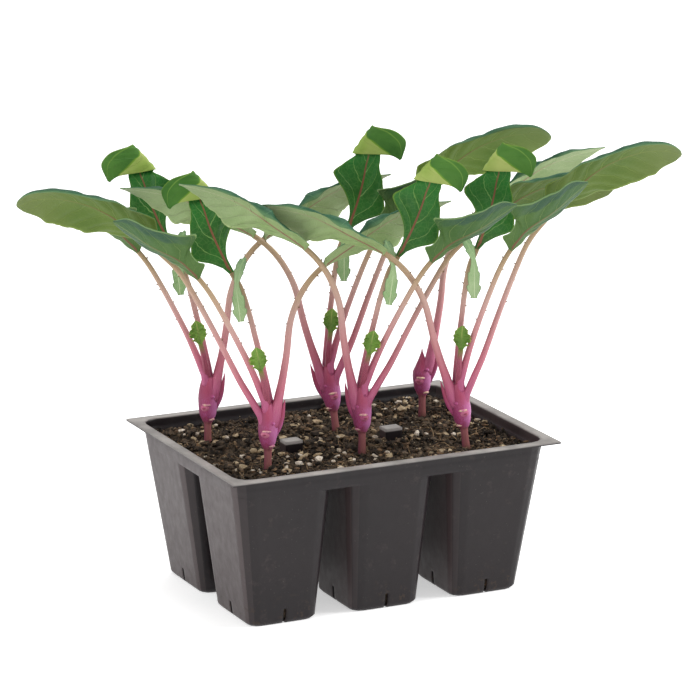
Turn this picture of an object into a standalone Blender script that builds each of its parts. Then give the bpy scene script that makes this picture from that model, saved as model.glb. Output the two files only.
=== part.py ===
"""Six young kohlrabi plants in a black plastic six-cell tray of potting soil.

Metres, +Z up, X along the tray's three-cell side, the tray standing on z = 0.
The leaves spread in one upright plane, which FACING turns away from X.
"""

import math

import bmesh
import bpy
import numpy as np
from mathutils import Matrix, Vector, noise

MM = 0.001

# The whole is moved by this much so that its bounding box is centred on the origin.
TRAY_AT = Vector((0.0033, 0.0061, 0.0))

# Tray, outside sizes in millimetres.
TRAY_HEIGHT = 76.0
TRAY_LENGTH = 164.2
TRAY_WIDTH = 121.0
FLANGE_SIDE = 4.0
FLANGE_THICK = 1.0
WALL = 0.9
LEDGE_DROP = 5.0
BAND_HEIGHT = 10.0
CELL_PITCH_X = 53.6
CELL_PITCH_Y = 56.9
CELL_FOOT_X = 35.0
CELL_FOOT_Y = 42.0
CELL_GAP = 9.0
CORNER_TOP = 9.0
CORNER_FOOT = 5.0
SLIT_WIDTH = 1.6
SLIT_HEIGHT = 7.5
POST_TOP = 74.5
POST_LENGTH = 9.0
POST_WIDTH = 7.0

# Potting soil.
SOIL_LEVEL = 68.5
SOIL_ROUGH = 0.9
CLEAR = 0.3
ROOT_DEPTH = 14.0

# The leaves are drawn as the photograph shows them, in millimetres that are true at
# one distance from where it was taken, and are then put at their own depth.
FACING = math.radians(-25.7)
TIP_BACK = math.radians(14.4)
EYE = Vector((-784.3, -1640.8, 583.4))
TRUE_AT = 1900.6
BLADE_THICK = 0.8

BIG = (1.0, 0.5, 0.0)
SMALL = (1.0, 0.0)


def material(name, colour, roughness, metallic=0.0):
    made = bpy.data.materials.new(name)
    made.use_nodes = True
    shader = made.node_tree.nodes["Principled BSDF"]
    shader.inputs["Base Color"].default_value = (*colour, 1.0)
    shader.inputs["Roughness"].default_value = roughness
    shader.inputs["Metallic"].default_value = metallic
    return made


def add_object(name, mesh, look, collection):
    thing = bpy.data.objects.new(name, mesh)
    if look:
        mesh.materials.append(look)
    collection.objects.link(thing)
    return thing


def mesh_of(name, points, faces):
    """A closed mesh with its faces turned outward, from points in millimetres."""
    mesh = bpy.data.meshes.new(name)
    mesh.from_pydata([[c * MM for c in p] for p in points], [], faces)
    shape = bmesh.new()
    shape.from_mesh(mesh)
    bmesh.ops.recalc_face_normals(shape, faces=shape.faces[:])
    if shape.calc_volume(signed=True) < 0:
        bmesh.ops.reverse_faces(shape, faces=shape.faces[:])
    shape.to_mesh(mesh)
    shape.free()
    return mesh


def loft(name, rings):
    """Join rings of equally many points and close both ends."""
    count = len(rings[0])
    points = [p for ring in rings for p in ring]
    faces = []
    for i in range(len(rings) - 1):
        for j in range(count):
            a, b = i * count + j, i * count + (j + 1) % count
            faces.append((a, b, b + count, a + count))
    faces.append(tuple(range(count)))
    faces.append(tuple(range(len(points) - count, len(points))))
    return mesh_of(name, points, faces)


def rounded_ring(centre, size, radius, z, steps=3):
    """Points round a rectangle with round corners, at height z."""
    ring = []
    corners = ((1, 1, 0), (-1, 1, 90), (-1, -1, 180), (1, -1, 270))
    for sx, sy, start in corners:
        for k in range(steps + 1):
            turn = math.radians(start + 90 * k / steps)
            x = centre[0] + sx * (size[0] / 2 - radius) + radius * math.cos(turn)
            y = centre[1] + sy * (size[1] / 2 - radius) + radius * math.sin(turn)
            ring.append((x, y, z))
    return ring


def outline_at(z):
    """Outside length and width of the tray's tapering wall at height z."""
    up = z / TRAY_HEIGHT
    foot_x = 2 * CELL_PITCH_X + CELL_FOOT_X
    foot_y = CELL_PITCH_Y + CELL_FOOT_Y
    return foot_x + (TRAY_LENGTH - foot_x) * up, foot_y + (TRAY_WIDTH - foot_y) * up


def cell_span(column, row, z):
    """Where one cell reaches at height z: its least and greatest x and y."""
    up = z / (TRAY_HEIGHT - BAND_HEIGHT)
    mid_x, mid_y = column * CELL_PITCH_X, row * CELL_PITCH_Y / 2
    spans = []
    for mid, foot, pitch, side, edge in (
        (mid_x, CELL_FOOT_X, CELL_PITCH_X, column, outline_at(z)[0] / 2),
        (mid_y, CELL_FOOT_Y, CELL_PITCH_Y, row, outline_at(z)[1] / 2),
    ):
        half = foot / 2 + (pitch / 2 - CELL_GAP / 2 - foot / 2) * up
        low, high = mid - half, mid + half
        spans.append((-edge if side < 0 else low, edge if side > 0 else high))
    return spans


def cell_body(name, column, row, inset, floor, top):
    """One tapered cell, drawn in by inset all round, from floor to top."""
    rings = []
    for z, tuck in ((floor, 1.2), (floor + 1.5, 0.0), (top, 0.0)):
        grown = min(z, TRAY_HEIGHT - BAND_HEIGHT)
        (x0, x1), (y0, y1) = cell_span(column, row, grown)
        size = (x1 - x0 - 2 * (inset + tuck), y1 - y0 - 2 * (inset + tuck))
        radius = CORNER_FOOT + (CORNER_TOP - CORNER_FOOT) * z / TRAY_HEIGHT - inset
        rings.append(rounded_ring(((x0 + x1) / 2, (y0 + y1) / 2), size, radius, z))
    return loft(name, rings)


def band_body(name, inset, floor, top):
    """The band round the top of the tray, drawn in by inset."""
    rings = []
    for z in (floor, top):
        length, width = outline_at(min(z, TRAY_HEIGHT))
        size = (length - 2 * inset, width - 2 * inset)
        rings.append(rounded_ring((0, 0), size, CORNER_TOP - inset, z))
    return loft(name, rings)


def block(name, x0, x1, y0, y1, z0, z1):
    ring = [(x0, y0), (x1, y0), (x1, y1), (x0, y1)]
    return loft(name, [[(x, y, z) for x, y in ring] for z in (z0, z1)])


def cells():
    return [(column, row) for row in (-1, 1) for column in (-1, 0, 1)]


class Cutters:
    """A hidden collection for the meshes that Booleans use."""

    def __init__(self, name):
        self.collection = bpy.data.collections.new(name)
        bpy.context.scene.collection.children.link(self.collection)
        self.collection.hide_render = True

    def add(self, mesh):
        thing = add_object(mesh.name, mesh, None, self.collection)
        thing.hide_render = True
        thing.display_type = "WIRE"
        return thing

    def clear(self):
        for thing in list(self.collection.objects):
            bpy.data.objects.remove(thing)
        bpy.data.collections.remove(self.collection)


def combine(body, operation, meshes):
    """Join meshes to a body, or cut them from it, in one Boolean."""
    group = Cutters(body.name + "_" + operation.lower())
    for mesh in meshes:
        group.add(mesh)
    step = body.modifiers.new(operation.title(), "BOOLEAN")
    step.operation = operation
    step.operand_type = "COLLECTION"
    step.collection = group.collection
    step.solver = "EXACT"
    bpy.context.view_layer.update()
    ready = body.evaluated_get(bpy.context.evaluated_depsgraph_get())
    joined = bpy.data.meshes.new_from_object(ready)
    body.modifiers.clear()
    old, body.data = body.data, joined
    joined.name = old.name
    group.clear()
    return body


def slit_cutters():
    """A drain slit at the foot of each outer cell wall, and one where walls face."""
    cuts = []
    for column, row in cells():
        (x0, x1), (y0, y1) = cell_span(column, row, 0)
        x, y = (x0 + x1) / 2, (y0 + y1) / 2
        half, reach = SLIT_WIDTH / 2, 3.0
        for edge in (y0, y1):
            cuts.append(block("slit", x - half, x + half, edge - reach, edge + reach, -1, SLIT_HEIGHT))
        for edge in (x0, x1):
            cuts.append(block("slit", edge - reach, edge + reach, y - half, y + half, -1, SLIT_HEIGHT))
    return cuts


def make_tray(look, collection):
    """One formed sheet: flange, band and six cells, with posts on the dividers."""
    ridge = TRAY_HEIGHT - BAND_HEIGHT
    tray = add_object("tray", band_body("tray", 0, ridge, TRAY_HEIGHT), look, collection)
    flange = block(
        "flange",
        -TRAY_LENGTH / 2 - FLANGE_SIDE,
        TRAY_LENGTH / 2 + FLANGE_SIDE,
        -TRAY_WIDTH / 2 - FLANGE_SIDE,
        TRAY_WIDTH / 2 + FLANGE_SIDE,
        TRAY_HEIGHT - FLANGE_THICK,
        TRAY_HEIGHT - 0.01,
    )
    outside = [cell_body("cell", c, r, 0, 0, ridge + 0.5) for c, r in cells()]
    combine(tray, "UNION", outside + [flange])
    above = TRAY_HEIGHT - LEDGE_DROP
    inside = [cell_body("inside", c, r, WALL, WALL, ridge + 3) for c, r in cells()]
    inside.append(band_body("inside", WALL + 0.6, ridge + WALL, above + 1))
    inside.append(band_body("inside", WALL, above, TRAY_HEIGHT + 2))
    combine(tray, "DIFFERENCE", inside)
    combine(tray, "DIFFERENCE", slit_cutters())
    posts = []
    for side in (-1, 1):
        x = side * CELL_PITCH_X / 2
        half, deep = POST_LENGTH / 2, POST_WIDTH / 2
        posts.append(block("post", x - half, x + half, -deep, deep, ridge + 0.3, POST_TOP))
    combine(tray, "UNION", posts)
    return tray


def soil_top(name):
    """A crumbly slab: a grid of bumps over a flat underside."""
    length, width = TRAY_LENGTH + 10, TRAY_WIDTH + 10
    across, deep = 17, 13
    floor = TRAY_HEIGHT - BAND_HEIGHT + WALL + CLEAR
    points, faces = [], []
    for j in range(deep + 1):
        for i in range(across + 1):
            x = length * (i / across - 0.5)
            y = width * (j / deep - 0.5)
            bump = noise.noise(Vector((x * 0.11, y * 0.11, 3.0)))
            crumb = noise.noise(Vector((x * 0.31, y * 0.31, 9.0)))
            points.append((x, y, SOIL_LEVEL + SOIL_ROUGH * (0.7 * bump + 0.6 * crumb)))
    for j in range(deep):
        for i in range(across):
            a = j * (across + 1) + i
            faces.append((a, a + 1, a + across + 2, a + across + 1))
    row = across + 1
    rim = list(range(row))
    rim += [row * j + across for j in range(1, deep + 1)]
    rim += [row * deep + i for i in range(across - 1, -1, -1)]
    rim += [row * j for j in range(deep - 1, 0, -1)]
    base = len(points)
    points += [(points[i][0], points[i][1], floor) for i in rim]
    for k in range(len(rim)):
        n = (k + 1) % len(rim)
        faces.append((rim[k], base + k, base + n, rim[n]))
    faces.append(tuple(range(base, base + len(rim))))
    return mesh_of(name, points, faces)


def make_soil(look, collection):
    """Soil that fills the cells and covers the dividers, with a hole for each stem."""
    ridge = TRAY_HEIGHT - BAND_HEIGHT
    soil = add_object("potting_soil", soil_top("potting_soil"), look, collection)
    edge = WALL + 0.6 + CLEAR
    combine(soil, "INTERSECT", [band_body("edge", edge, ridge - 1, TRAY_HEIGHT)])
    legs = []
    for column, row in cells():
        legs.append(
            cell_body("leg", column, row, WALL + CLEAR + 0.5, WALL + CLEAR, ridge + WALL + 1.2)
        )
    combine(soil, "UNION", legs)
    cuts = []
    for side in (-1, 1):
        x = side * CELL_PITCH_X / 2
        half, deep = POST_LENGTH / 2 + CLEAR, POST_WIDTH / 2 + CLEAR
        cuts.append(block("post", x - half, x + half, -deep, deep, ridge, TRAY_HEIGHT + 4))
    for plant in PLANTS:
        rings = []
        for height in (-ROOT_DEPTH - CLEAR, 6.0):
            ring = stem_ring(plant, height, ROOT_RADIUS + CLEAR)
            rings.append(ring)
        cuts.append(loft("hole", rings))
    combine(soil, "DIFFERENCE", cuts)
    return soil


class Plant:
    """Where one plant stands, which way it is mirrored and how far it leans."""

    def __init__(self, name, x, y, side, lean, backs):
        self.name = name
        self.foot = Vector((x, y, SOIL_LEVEL))
        self.side = side
        self.lean = math.radians(lean)
        self.backs = backs

    def place(self, across, rise, back):
        """A point of the plant's plane: across and rise in it, back away from it."""
        across *= self.side
        a = across * math.cos(self.lean) - rise * math.sin(self.lean)
        r = across * math.sin(self.lean) + rise * math.cos(self.lean)
        near = self.foot - EYE
        drawn = near + (ALONG * a + PICTURE_UP * r) * (LOOK.dot(near) / TRUE_AT)
        return EYE + drawn * ((AWAY.dot(near) + back) / AWAY.dot(drawn))


ALONG = Vector((math.cos(FACING), math.sin(FACING), 0))
AWAY = Vector((-math.sin(FACING), math.cos(FACING), 0))
PICTURE_UP = AWAY * math.sin(TIP_BACK) + Vector((0, 0, math.cos(TIP_BACK)))
LOOK = AWAY * math.cos(TIP_BACK) - Vector((0, 0, math.sin(TIP_BACK)))

ARCHING, UPRIGHT, TWISTED, LONG, HANGING, YOUNG = (
    "arching_leaf",
    "upright_leaf",
    "twisted_leaf",
    "long_leaf",
    "hanging_leaf",
    "young_leaf",
)

# Each plant bears the leaves named in its last entry, with how far back each one leans.
PLANTS = [
    Plant("back_left", -59.0, 27.0, -1, 0,
          {ARCHING: 44, UPRIGHT: 24, TWISTED: 2, HANGING: 24, YOUNG: 0}),
    Plant("front_left", -52.0, -28.0, -1, 0,
          {ARCHING: 46, UPRIGHT: 24, TWISTED: -14, LONG: 8, HANGING: 24, YOUNG: 0}),
    Plant("back_middle", 6.5, 19.0, 1, 7.4,
          {ARCHING: -20, UPRIGHT: 6, TWISTED: -2, LONG: 26, HANGING: 6, YOUNG: 0}),
    Plant("front_middle", 1.0, -21.0, 1, 0,
          {ARCHING: -24, UPRIGHT: -6, TWISTED: -20, LONG: 40, HANGING: -6, YOUNG: 0}),
    Plant("back_right", 57.0, 26.0, -1, 0, {ARCHING: 24}),
    Plant("front_right", 50.0, -36.0, 1, 7.4,
          {ARCHING: -28, UPRIGHT: -6, TWISTED: -22, LONG: 6, HANGING: -6, YOUNG: 0}),
]

# Radius of the stem at heights above the soil, foot to crown.
ROOT_RADIUS = 2.0
STEM_PROFILE = (
    (-ROOT_DEPTH, 1.2),
    (-ROOT_DEPTH + 1.5, ROOT_RADIUS),
    (0.5, ROOT_RADIUS),
    (7.0, 1.8),
    (11.0, 2.1),
    (14.0, 2.9),
    (18.5, 4.1),
    (22.5, 4.5),
    (25.5, 4.1),
    (27.0, 3.3),
)
SHOOT_PROFILE = ((24.0, 1.4), (30.0, 1.4), (34.0, 2.5))


def stem_ring(plant, height, radius, across=0.0, back=0.0, count=12):
    """A ring round the plant's own axis."""
    tip = math.cos(TIP_BACK)
    middle = plant.place(across, height * tip, back)
    side = (plant.place(1, 0, 0) - plant.place(0, 0, 0)).normalized()
    ring = []
    for k in range(count):
        turn = 2 * math.pi * k / count
        ring.append(middle + (side * math.cos(turn) + AWAY * math.sin(turn)) * radius)
    return ring


def make_stem(plant, look, collection):
    """Foot, neck and swelling in one, with its side shoot, bract and bud."""
    name = plant.name + "_stem"
    rings = [stem_ring(plant, z, r) for z, r in STEM_PROFILE]
    stem = add_object(name, loft(name, rings), look, collection)
    shoot = loft("shoot", [stem_ring(plant, z, r, 0.6, 1.3, 8) for z, r in SHOOT_PROFILE])
    bract_rings = []
    for across, height, radius in ((-3.4, 18, 1.4), (-5.5, 23.5, 1.6), (-7.3, 30, 1.0), (-8.3, 36, 0.3)):
        bract_rings.append(stem_ring(plant, height, radius, across, 0, 6))
    bud_rings = []
    for height, radius in ((16.6, 0.8), (17.6, 1.6), (19.0, 1.5), (20.2, 0.5)):
        bud_rings.append(stem_ring(plant, height, radius, -0.5, -3.6, 6))
    combine(stem, "UNION", [shoot, loft("bract", bract_rings), loft("bud", bud_rings)])
    return stem


class Leaf:
    """One kind of leaf, drawn growing to the right.

    route: points of petiole and midrib, across and rise in millimetres, and where
    the leaf bends out of its plane how far back;
    blade_from: the route point where the blade begins;
    near, far: half widths along the blade, toward and away from the viewer;
    turn: the blade's tilt in degrees, 90 showing its upper face to the viewer;
    arch: how much the tilt changes to either edge;
    wave, waves: ruffle of the edges, as a share of the half width, and their number;
    blunt: the share of the blade over which its tip is rounded off;
    sheet: for a blade that folds or has lobes, one edge, midrib and other edge at each
    place along it instead, each as across, rise and how far back.
    """

    def __init__(self, side, start_back, route, blade_from, petiole, near=(), far=(), turn=(80, 80),
                 arch=(0, 0), wave=0.0, waves=2.0, tooth=0.0, teeth=6, blunt=0.0, columns=BIG,
                 rings=(6, 11), sheet=()):
        self.side = side
        self.start_back = start_back
        self.route = route
        self.blade_from = blade_from
        self.petiole = petiole
        self.near = near
        self.far = far
        self.turn = turn
        self.arch = arch
        self.wave = wave
        self.waves = waves
        self.tooth = tooth
        self.teeth = teeth
        self.blunt = blunt
        self.columns = columns
        self.rings = rings
        self.sheet = sheet


# The blades below are drawn by their edges: each row is the edge toward the viewer or
# away from the stem, the midrib and the other edge.

# The upright blade: wedge-shaped, then folded forward along its slanting top, with
# the tip hanging down in front.
UPRIGHT_SHEET = (
    ((21.8, 99.6, 0), (19.4, 100.0, 0), (18.0, 101.0, 0)),
    ((27.4, 101.8, -0.6), (21.4, 104.4, 0), (20.0, 105.2, -0.4)),
    ((36.0, 104.2, -1.6), (24.1, 109.9, 0), (20.4, 111.0, -1.2)),
    ((37.8, 112.0, -0.8), (26.9, 116.2, 0.2), (18.6, 118.2, -2.0)),
    ((38.2, 119.6, -1.6), (29.3, 122.4, 0.2), (15.1, 126.8, -2.4)),
    ((37.6, 126.4, -0.8), (31.3, 128.6, 0.3), (20.2, 130.6, -1.2)),
    ((38.8, 132.6, 0.5), (33.2, 133.8, 0.8), (26.0, 133.5, 0.6)),
    ((37.8, 145.4, 1.5), (32.6, 140.4, 1.6), (26.4, 134.7, 1.5)),
    ((36.7, 147.4, 0.0), (31.4, 142.0, 0.1), (25.2, 135.4, 0.0)),
    ((38.4, 146.4, -1.5), (33.2, 141.2, -1.6), (27.0, 134.6, -1.5)),
    ((46.6, 143.6, -2.2), (40.6, 139.0, -2.7), (35.0, 133.2, -2.0)),
    ((51.6, 141.2, -2.8), (46.8, 136.4, -3.3), (43.0, 131.8, -2.6)),
    ((51.4, 134.8, -3.2), (48.8, 132.6, -3.5), (46.4, 130.0, -3.1)),
    ((49.0, 129.4, -3.3), (48.4, 129.0, -3.4), (47.8, 128.6, -3.3)),
)

# The twisted blade, seen from below: two lobes at its foot, its upper half raised
# toward the viewer and its other half folded away behind the midrib.
TWISTED_SHEET = (
    ((32.2, 97.6, -0.6), (35.2, 96.4, 0), (36.6, 95.4, 0.8)),
    ((30.8, 101.6, -1.6), (37.0, 98.2, 0), (38.6, 96.6, 2.2)),
    ((34.6, 103.2, -1.8), (39.0, 100.0, 0), (40.6, 98.2, 3.4)),
    ((38.0, 108.8, -1.6), (41.4, 102.2, 0), (43.0, 100.2, 4.4)),
    ((34.8, 115.8, -4.4), (44.4, 104.2, 0), (45.8, 102.2, 5.2)),
    ((43.6, 116.4, -4.8), (48.4, 106.3, 0), (49.6, 104.3, 5.4)),
    ((51.8, 117.2, -4.8), (54.0, 108.9, 0), (55.2, 107.0, 5.2)),
    ((58.8, 119.6, -5.0), (59.8, 112.2, 0), (61.0, 110.4, 4.8)),
    ((64.6, 122.8, -4.8), (64.6, 115.6, 0), (65.8, 113.9, 4.0)),
    ((69.6, 124.0, -3.6), (69.4, 118.8, 0), (70.4, 117.4, 2.8)),
    ((73.4, 123.4, -1.6), (73.6, 121.4, 0), (74.0, 120.6, 1.2)),
    ((75.6, 122.8, -0.2), (75.7, 122.5, 0), (75.8, 122.2, 0.2)),
)

LEAVES = {
    ARCHING: Leaf(
        side=-1, start_back=-0.8,
        route=[(3.6, 27.5), (5.3, 36.7), (7.0, 45.0), (9.1, 57.7), (10.9, 73.3), (15.2, 85.5),
               (21.0, 94.6), (27.6, 101.2), (34.5, 106.3), (42.5, 111.6), (53.5, 119.3),
               (62.0, 124.2), (75.0, 129.0), (89.5, 132.6)],
        blade_from=7, petiole=(2.1, 1.7, 1.5),
        near=(1.6, 3, 9, 13, 14, 11, 6, 0.5), far=(1.6, 2.5, 7, 14, 17, 13, 6, 0.5),
        turn=(-34, -40, -44, -44, -44, -42, -38, -30), arch=(0, 8, 14, 18, 20, 18, 12, 4),
        wave=0.12, waves=2.5, rings=(5, 12)),
    UPRIGHT: Leaf(
        side=1, start_back=2.4,
        route=[(-0.8, 34.6), (1.2, 45.0), (3.4, 55.2), (6.4, 67.0), (9.0, 77.2), (13.2, 90.0),
               (17.7, 97.6), (21.2, 107.5), (28.9, 125.0), (36.7, 141.4)],
        blade_from=6, petiole=(1.7, 1.6, 1.6), rings=(4, 0), sheet=UPRIGHT_SHEET),
    TWISTED: Leaf(
        side=1, start_back=-1.7,
        route=[(1.5, 34.6), (6.2, 46.0), (11.7, 57.7), (20.5, 74.3), (27.8, 86.8), (33.9, 94.8),
               (41.4, 102.4), (53.0, 108.6), (68.5, 118.4), (75.6, 122.5)],
        blade_from=5, petiole=(1.7, 1.6, 1.5), turn=(-75, -75), rings=(4, 0),
        sheet=TWISTED_SHEET),
    LONG: Leaf(
        side=1, start_back=-1.5,
        route=[(3.6, 27.8), (8.8, 36.6), (14.4, 46.0), (25.8, 68.0), (38.0, 90.0), (44.4, 99.2),
               (52.6, 107.0), (60.8, 113.6), (68.4, 119.5), (74.5, 123.9), (79.7, 127.0),
               (86.3, 130.0), (93.0, 132.0), (99.2, 133.3), (106.0, 133.9), (114.4, 133.2), (122.7, 130.0)],
        blade_from=6, petiole=(1.9, 1.6, 1.6),
        near=(1.6, 14, 13.5, 14, 13.5, 12.5, 10), far=(1.6, 3, 13, 18.5, 19.5, 17, 13),
        turn=(-60, -58, -50, -46, -46, -44, -38), arch=(0, -10, -2, 10, 14, 14, 6),
        wave=0.05, waves=3.0, blunt=0.16, rings=(4, 13)),
    HANGING: Leaf(
        side=1, start_back=-2.6,
        route=[(10.4, 103.6), (12.6, 102.4), (15.0, 98.0), (15.8, 92.0), (14.6, 85.0), (13.9, 79.0),
               (13.4, 74.0)],
        blade_from=1, petiole=(0.9, 0.8),
        near=(0.9, 2.8, 1.4, 3.0, 4.2, 4.0, 2.6), far=(0.9, 2.6, 1.5, 2.6, 2.8, 2.8, 2.0),
        turn=(60, 70, 90, 96, 100, 100, 100), arch=(-30, -30, -20, -10, 0, 0, 0),
        tooth=0.16, teeth=4, columns=SMALL, rings=(2, 8)),
    YOUNG: Leaf(
        side=1, start_back=-2.8,
        route=[(0.2, 27.6), (0.4, 34.6, -2.0), (2.0, 44.0, -3.2), (3.6, 50.0, -3.6), (4.4, 54.0, -3.8),
               (5.2, 58.0, -4.0), (5.9, 61.0, -4.2)],
        blade_from=3, petiole=(0.9, 0.8),
        near=(0.9, 4.2, 4.6, 3.6, 1.0), far=(0.9, 4.0, 4.4, 3.4, 1.0),
        turn=(80, 80, 80, 80, 80), arch=(-16, -16, -12, -10, 0),
        tooth=0.16, teeth=4, columns=SMALL, rings=(3, 8)),
}


def between(values, t):
    """A smooth value at t, 0 to 1, among values set at equal steps."""
    place = t * (len(values) - 1)
    low = min(int(place), len(values) - 2)
    share = place - low
    ease = share * share * (3 - 2 * share)
    return values[low] + (values[low + 1] - values[low]) * (0.5 * ease + 0.5 * share)


def smooth_route(points, per=8):
    """A Catmull-Rom curve through the points, sampled per times a span."""
    pts = [points[0] * 2 - points[1]] + points + [points[-1] * 2 - points[-2]]
    out = []
    for i in range(1, len(pts) - 2):
        p0, p1, p2, p3 = pts[i - 1 : i + 3]
        for k in range(per):
            t = k / per
            a = p1 * 2 + (p2 - p0) * t
            b = (p0 * 2 - p1 * 5 + p2 * 4 - p3) * t**2
            c = (p1 * 3 - p0 - p2 * 3 + p3) * t**3
            out.append((a + b + c) / 2)
    out.append(points[-1])
    return out


def sample(curve, start, stop, count, skip_first):
    """Points at equal lengths along part of a curve, with their directions."""
    part = curve[start : stop + 1]
    run = [0.0]
    for a, b in zip(part, part[1:]):
        run.append(run[-1] + (b - a).length)
    wanted = np.linspace(0, run[-1], count)
    if skip_first:
        wanted = wanted[1:]
    out = []
    for w in wanted:
        k = min(int(np.searchsorted(run, w, side="right")) - 1, len(part) - 2)
        share = (w - run[k]) / max(run[k + 1] - run[k], 1e-9)
        here = part[k].lerp(part[k + 1], share)
        at = start + k
        ahead = curve[min(at + 3, len(curve) - 1)] - curve[max(at - 2, 0)]
        out.append((here, ahead.normalized(), w / run[-1]))
    return out


def blade_ring(leaf, hand, here, ahead, t, radius):
    """Upper and lower points across the leaf at one place of its route."""
    left = ahead.cross(AWAY).normalized() * hand
    away = (AWAY - ahead * AWAY.dot(ahead)).normalized()

    def across(degrees):
        turn = math.radians(degrees)
        return away * math.cos(turn) + left * math.sin(turn)

    def upward(degrees):
        return ahead.cross(across(degrees)) * hand

    turn, arch = between(leaf.turn, t), between(leaf.arch, t)
    rib = radius * (1 - t) ** 0.7 + 0.35
    columns = []
    for sign, halves in ((-1, leaf.near), (1, leaf.far)):
        phase = 0.0 if sign < 0 else 1.7
        bite = 1 - leaf.tooth * ((leaf.teeth * t) % 1.0)
        if leaf.blunt and t > 1 - leaf.blunt:
            bite *= math.sqrt(1 - 0.98 * ((t - 1 + leaf.blunt) / leaf.blunt) ** 2)
        half = max(between(halves, t) * bite, rib * 1.1 + 0.15)
        ruffle = leaf.wave * half * math.sin(2 * math.pi * leaf.waves * t + phase)
        ruffle *= math.sin(math.pi * min(t * 1.1, 1.0))
        bent = turn - sign * arch
        mid = across(turn) * (sign * rib)
        mild = across(turn - sign * arch * 0.4)
        strong = across(bent)
        points = {0.0: (mid, upward(turn))}
        reach = half - rib
        halfway = mid + mild * (sign * reach * 0.5)
        points[0.5] = (halfway + upward(turn) * ruffle * 0.3, upward(turn - sign * arch * 0.6))
        edge = halfway + strong * (sign * reach * 0.5)
        points[1.0] = (edge + upward(bent) * ruffle, upward(bent))
        order = leaf.columns if sign < 0 else leaf.columns[::-1]
        if sign > 0:
            columns.append((Vector(), upward(turn)))
        columns += [points[step] for step in order]
    upper = [here + p + n * (BLADE_THICK / 2) for p, n in columns]
    lower = [here + p - n * (BLADE_THICK / 2) for p, n in columns]
    middle = len(columns) // 2
    lower[middle] = here - upward(turn) * max(rib, BLADE_THICK / 2)
    return upper, lower


def stalk_ring(leaf, hand, here, ahead, radius):
    """The same number of points round the petiole."""
    left = ahead.cross(AWAY).normalized() * hand
    away = (AWAY - ahead * AWAY.dot(ahead)).normalized()
    turn = math.radians(leaf.turn[0])
    side = away * math.cos(turn) + left * math.sin(turn)
    up = ahead.cross(side) * hand
    count = 2 * len(leaf.columns) + 1
    step = math.pi / count
    upper, lower = [], []
    for k in range(count):
        angle = math.pi - step * (k + 0.5)
        flat = side * math.cos(angle) * radius
        upper.append(here + flat + up * math.sin(angle) * radius)
        lower.append(here + flat - up * math.sin(angle) * radius)
    return upper, lower


def leaf_point(plant, kind, across, rise, bent=0.0):
    """A point of a leaf in the tray's frame. The hanging leaf leans as the upright one."""
    leaf = LEAVES[kind]
    ruler = LEAVES[UPRIGHT if kind == HANGING else kind].route
    first, last = ruler[0][1], max(p[1] for p in ruler)
    grown = max(rise - first, 0) / (last - first)
    back = leaf.start_back + plant.backs[kind] * grown**1.4 + bent
    return plant.place(leaf.side * across, rise, back)


def leaf_route(plant, kind):
    """The leaf's middle line in the tray's frame."""
    return [leaf_point(plant, kind, *p) for p in LEAVES[kind].route]


def sheet_row(station, rib):
    """Seven points across a blade that is drawn by its edges and midrib."""
    first, middle, second = station
    row = []
    for edge in (first, second):
        span = edge - middle
        beside = middle + span.normalized() * min(rib, span.length * 0.6)
        row.append([edge, beside.lerp(edge, 0.5), beside])
    return row[0] + [middle] + row[1][::-1]


def sheet_rings(plant, kind, hand):
    """Upper and lower points of each ring of a blade drawn by its edges and midrib."""
    leaf = LEAVES[kind]
    last = len(leaf.sheet) - 1
    ribs = [leaf.petiole[-1] * (1 - k / last) ** 0.9 + 0.3 for k in range(last + 1)]
    grid = []
    for station, rib in zip(leaf.sheet, ribs):
        grid.append(sheet_row([leaf_point(plant, kind, *p) for p in station], rib))
    rings = []
    for i, row in enumerate(grid):
        before, after = grid[max(i - 1, 0)], grid[min(i + 1, last)]
        upper, lower = [], []
        for j, point in enumerate(row):
            along = after[j] - before[j]
            across = row[min(j + 1, 6)] - row[max(j - 1, 0)]
            normal = along.cross(across).normalized() * hand
            depth = BLADE_THICK / 2
            upper.append(point + normal * depth)
            if j == 3:
                depth = max(ribs[i], depth)
            lower.append(point - normal * depth)
        rings.append((upper, lower))
    return rings


def leaf_mesh(name, plant, kind):
    """Petiole and blade as one closed skin, split alike on both faces."""
    leaf = LEAVES[kind]
    hand = plant.side * leaf.side
    per = 8
    curve = smooth_route(leaf_route(plant, kind), per)
    joint = leaf.blade_from * per
    rows = []
    for here, ahead, t in sample(curve, 0, joint, leaf.rings[0], False):
        rows.append(stalk_ring(leaf, hand, here, ahead, between(leaf.petiole, t)))
    if leaf.sheet:
        rows += sheet_rings(plant, kind, hand)
    else:
        for here, ahead, t in sample(curve, joint, len(curve) - 1, leaf.rings[1] + 1, True):
            rows.append(blade_ring(leaf, hand, here, ahead, t, leaf.petiole[-1]))
    count = len(rows[0][0])
    points = [p for upper, lower in rows for p in upper + lower]
    ring = 2 * count
    faces = []
    for i in range(len(rows) - 1):
        for face in (0, count):
            for k in range(count - 1):
                a = i * ring + face + k
                faces.append((a, a + 1, a + ring + 1))
                faces.append((a, a + ring + 1, a + ring))
        for k in (0, count - 1):
            a, b = i * ring + k, i * ring + count + k
            faces.append((a, b, b + ring))
            faces.append((a, b + ring, a + ring))
    for start in (0, (len(rows) - 1) * ring):
        for k in range(count - 1):
            a, b = start + k, start + count + k
            faces.append((a, a + 1, b + 1))
            faces.append((a, b + 1, b))
    return mesh_of(name, points, faces)


def clear_scene():
    for thing in list(bpy.data.objects):
        bpy.data.objects.remove(thing)


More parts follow.
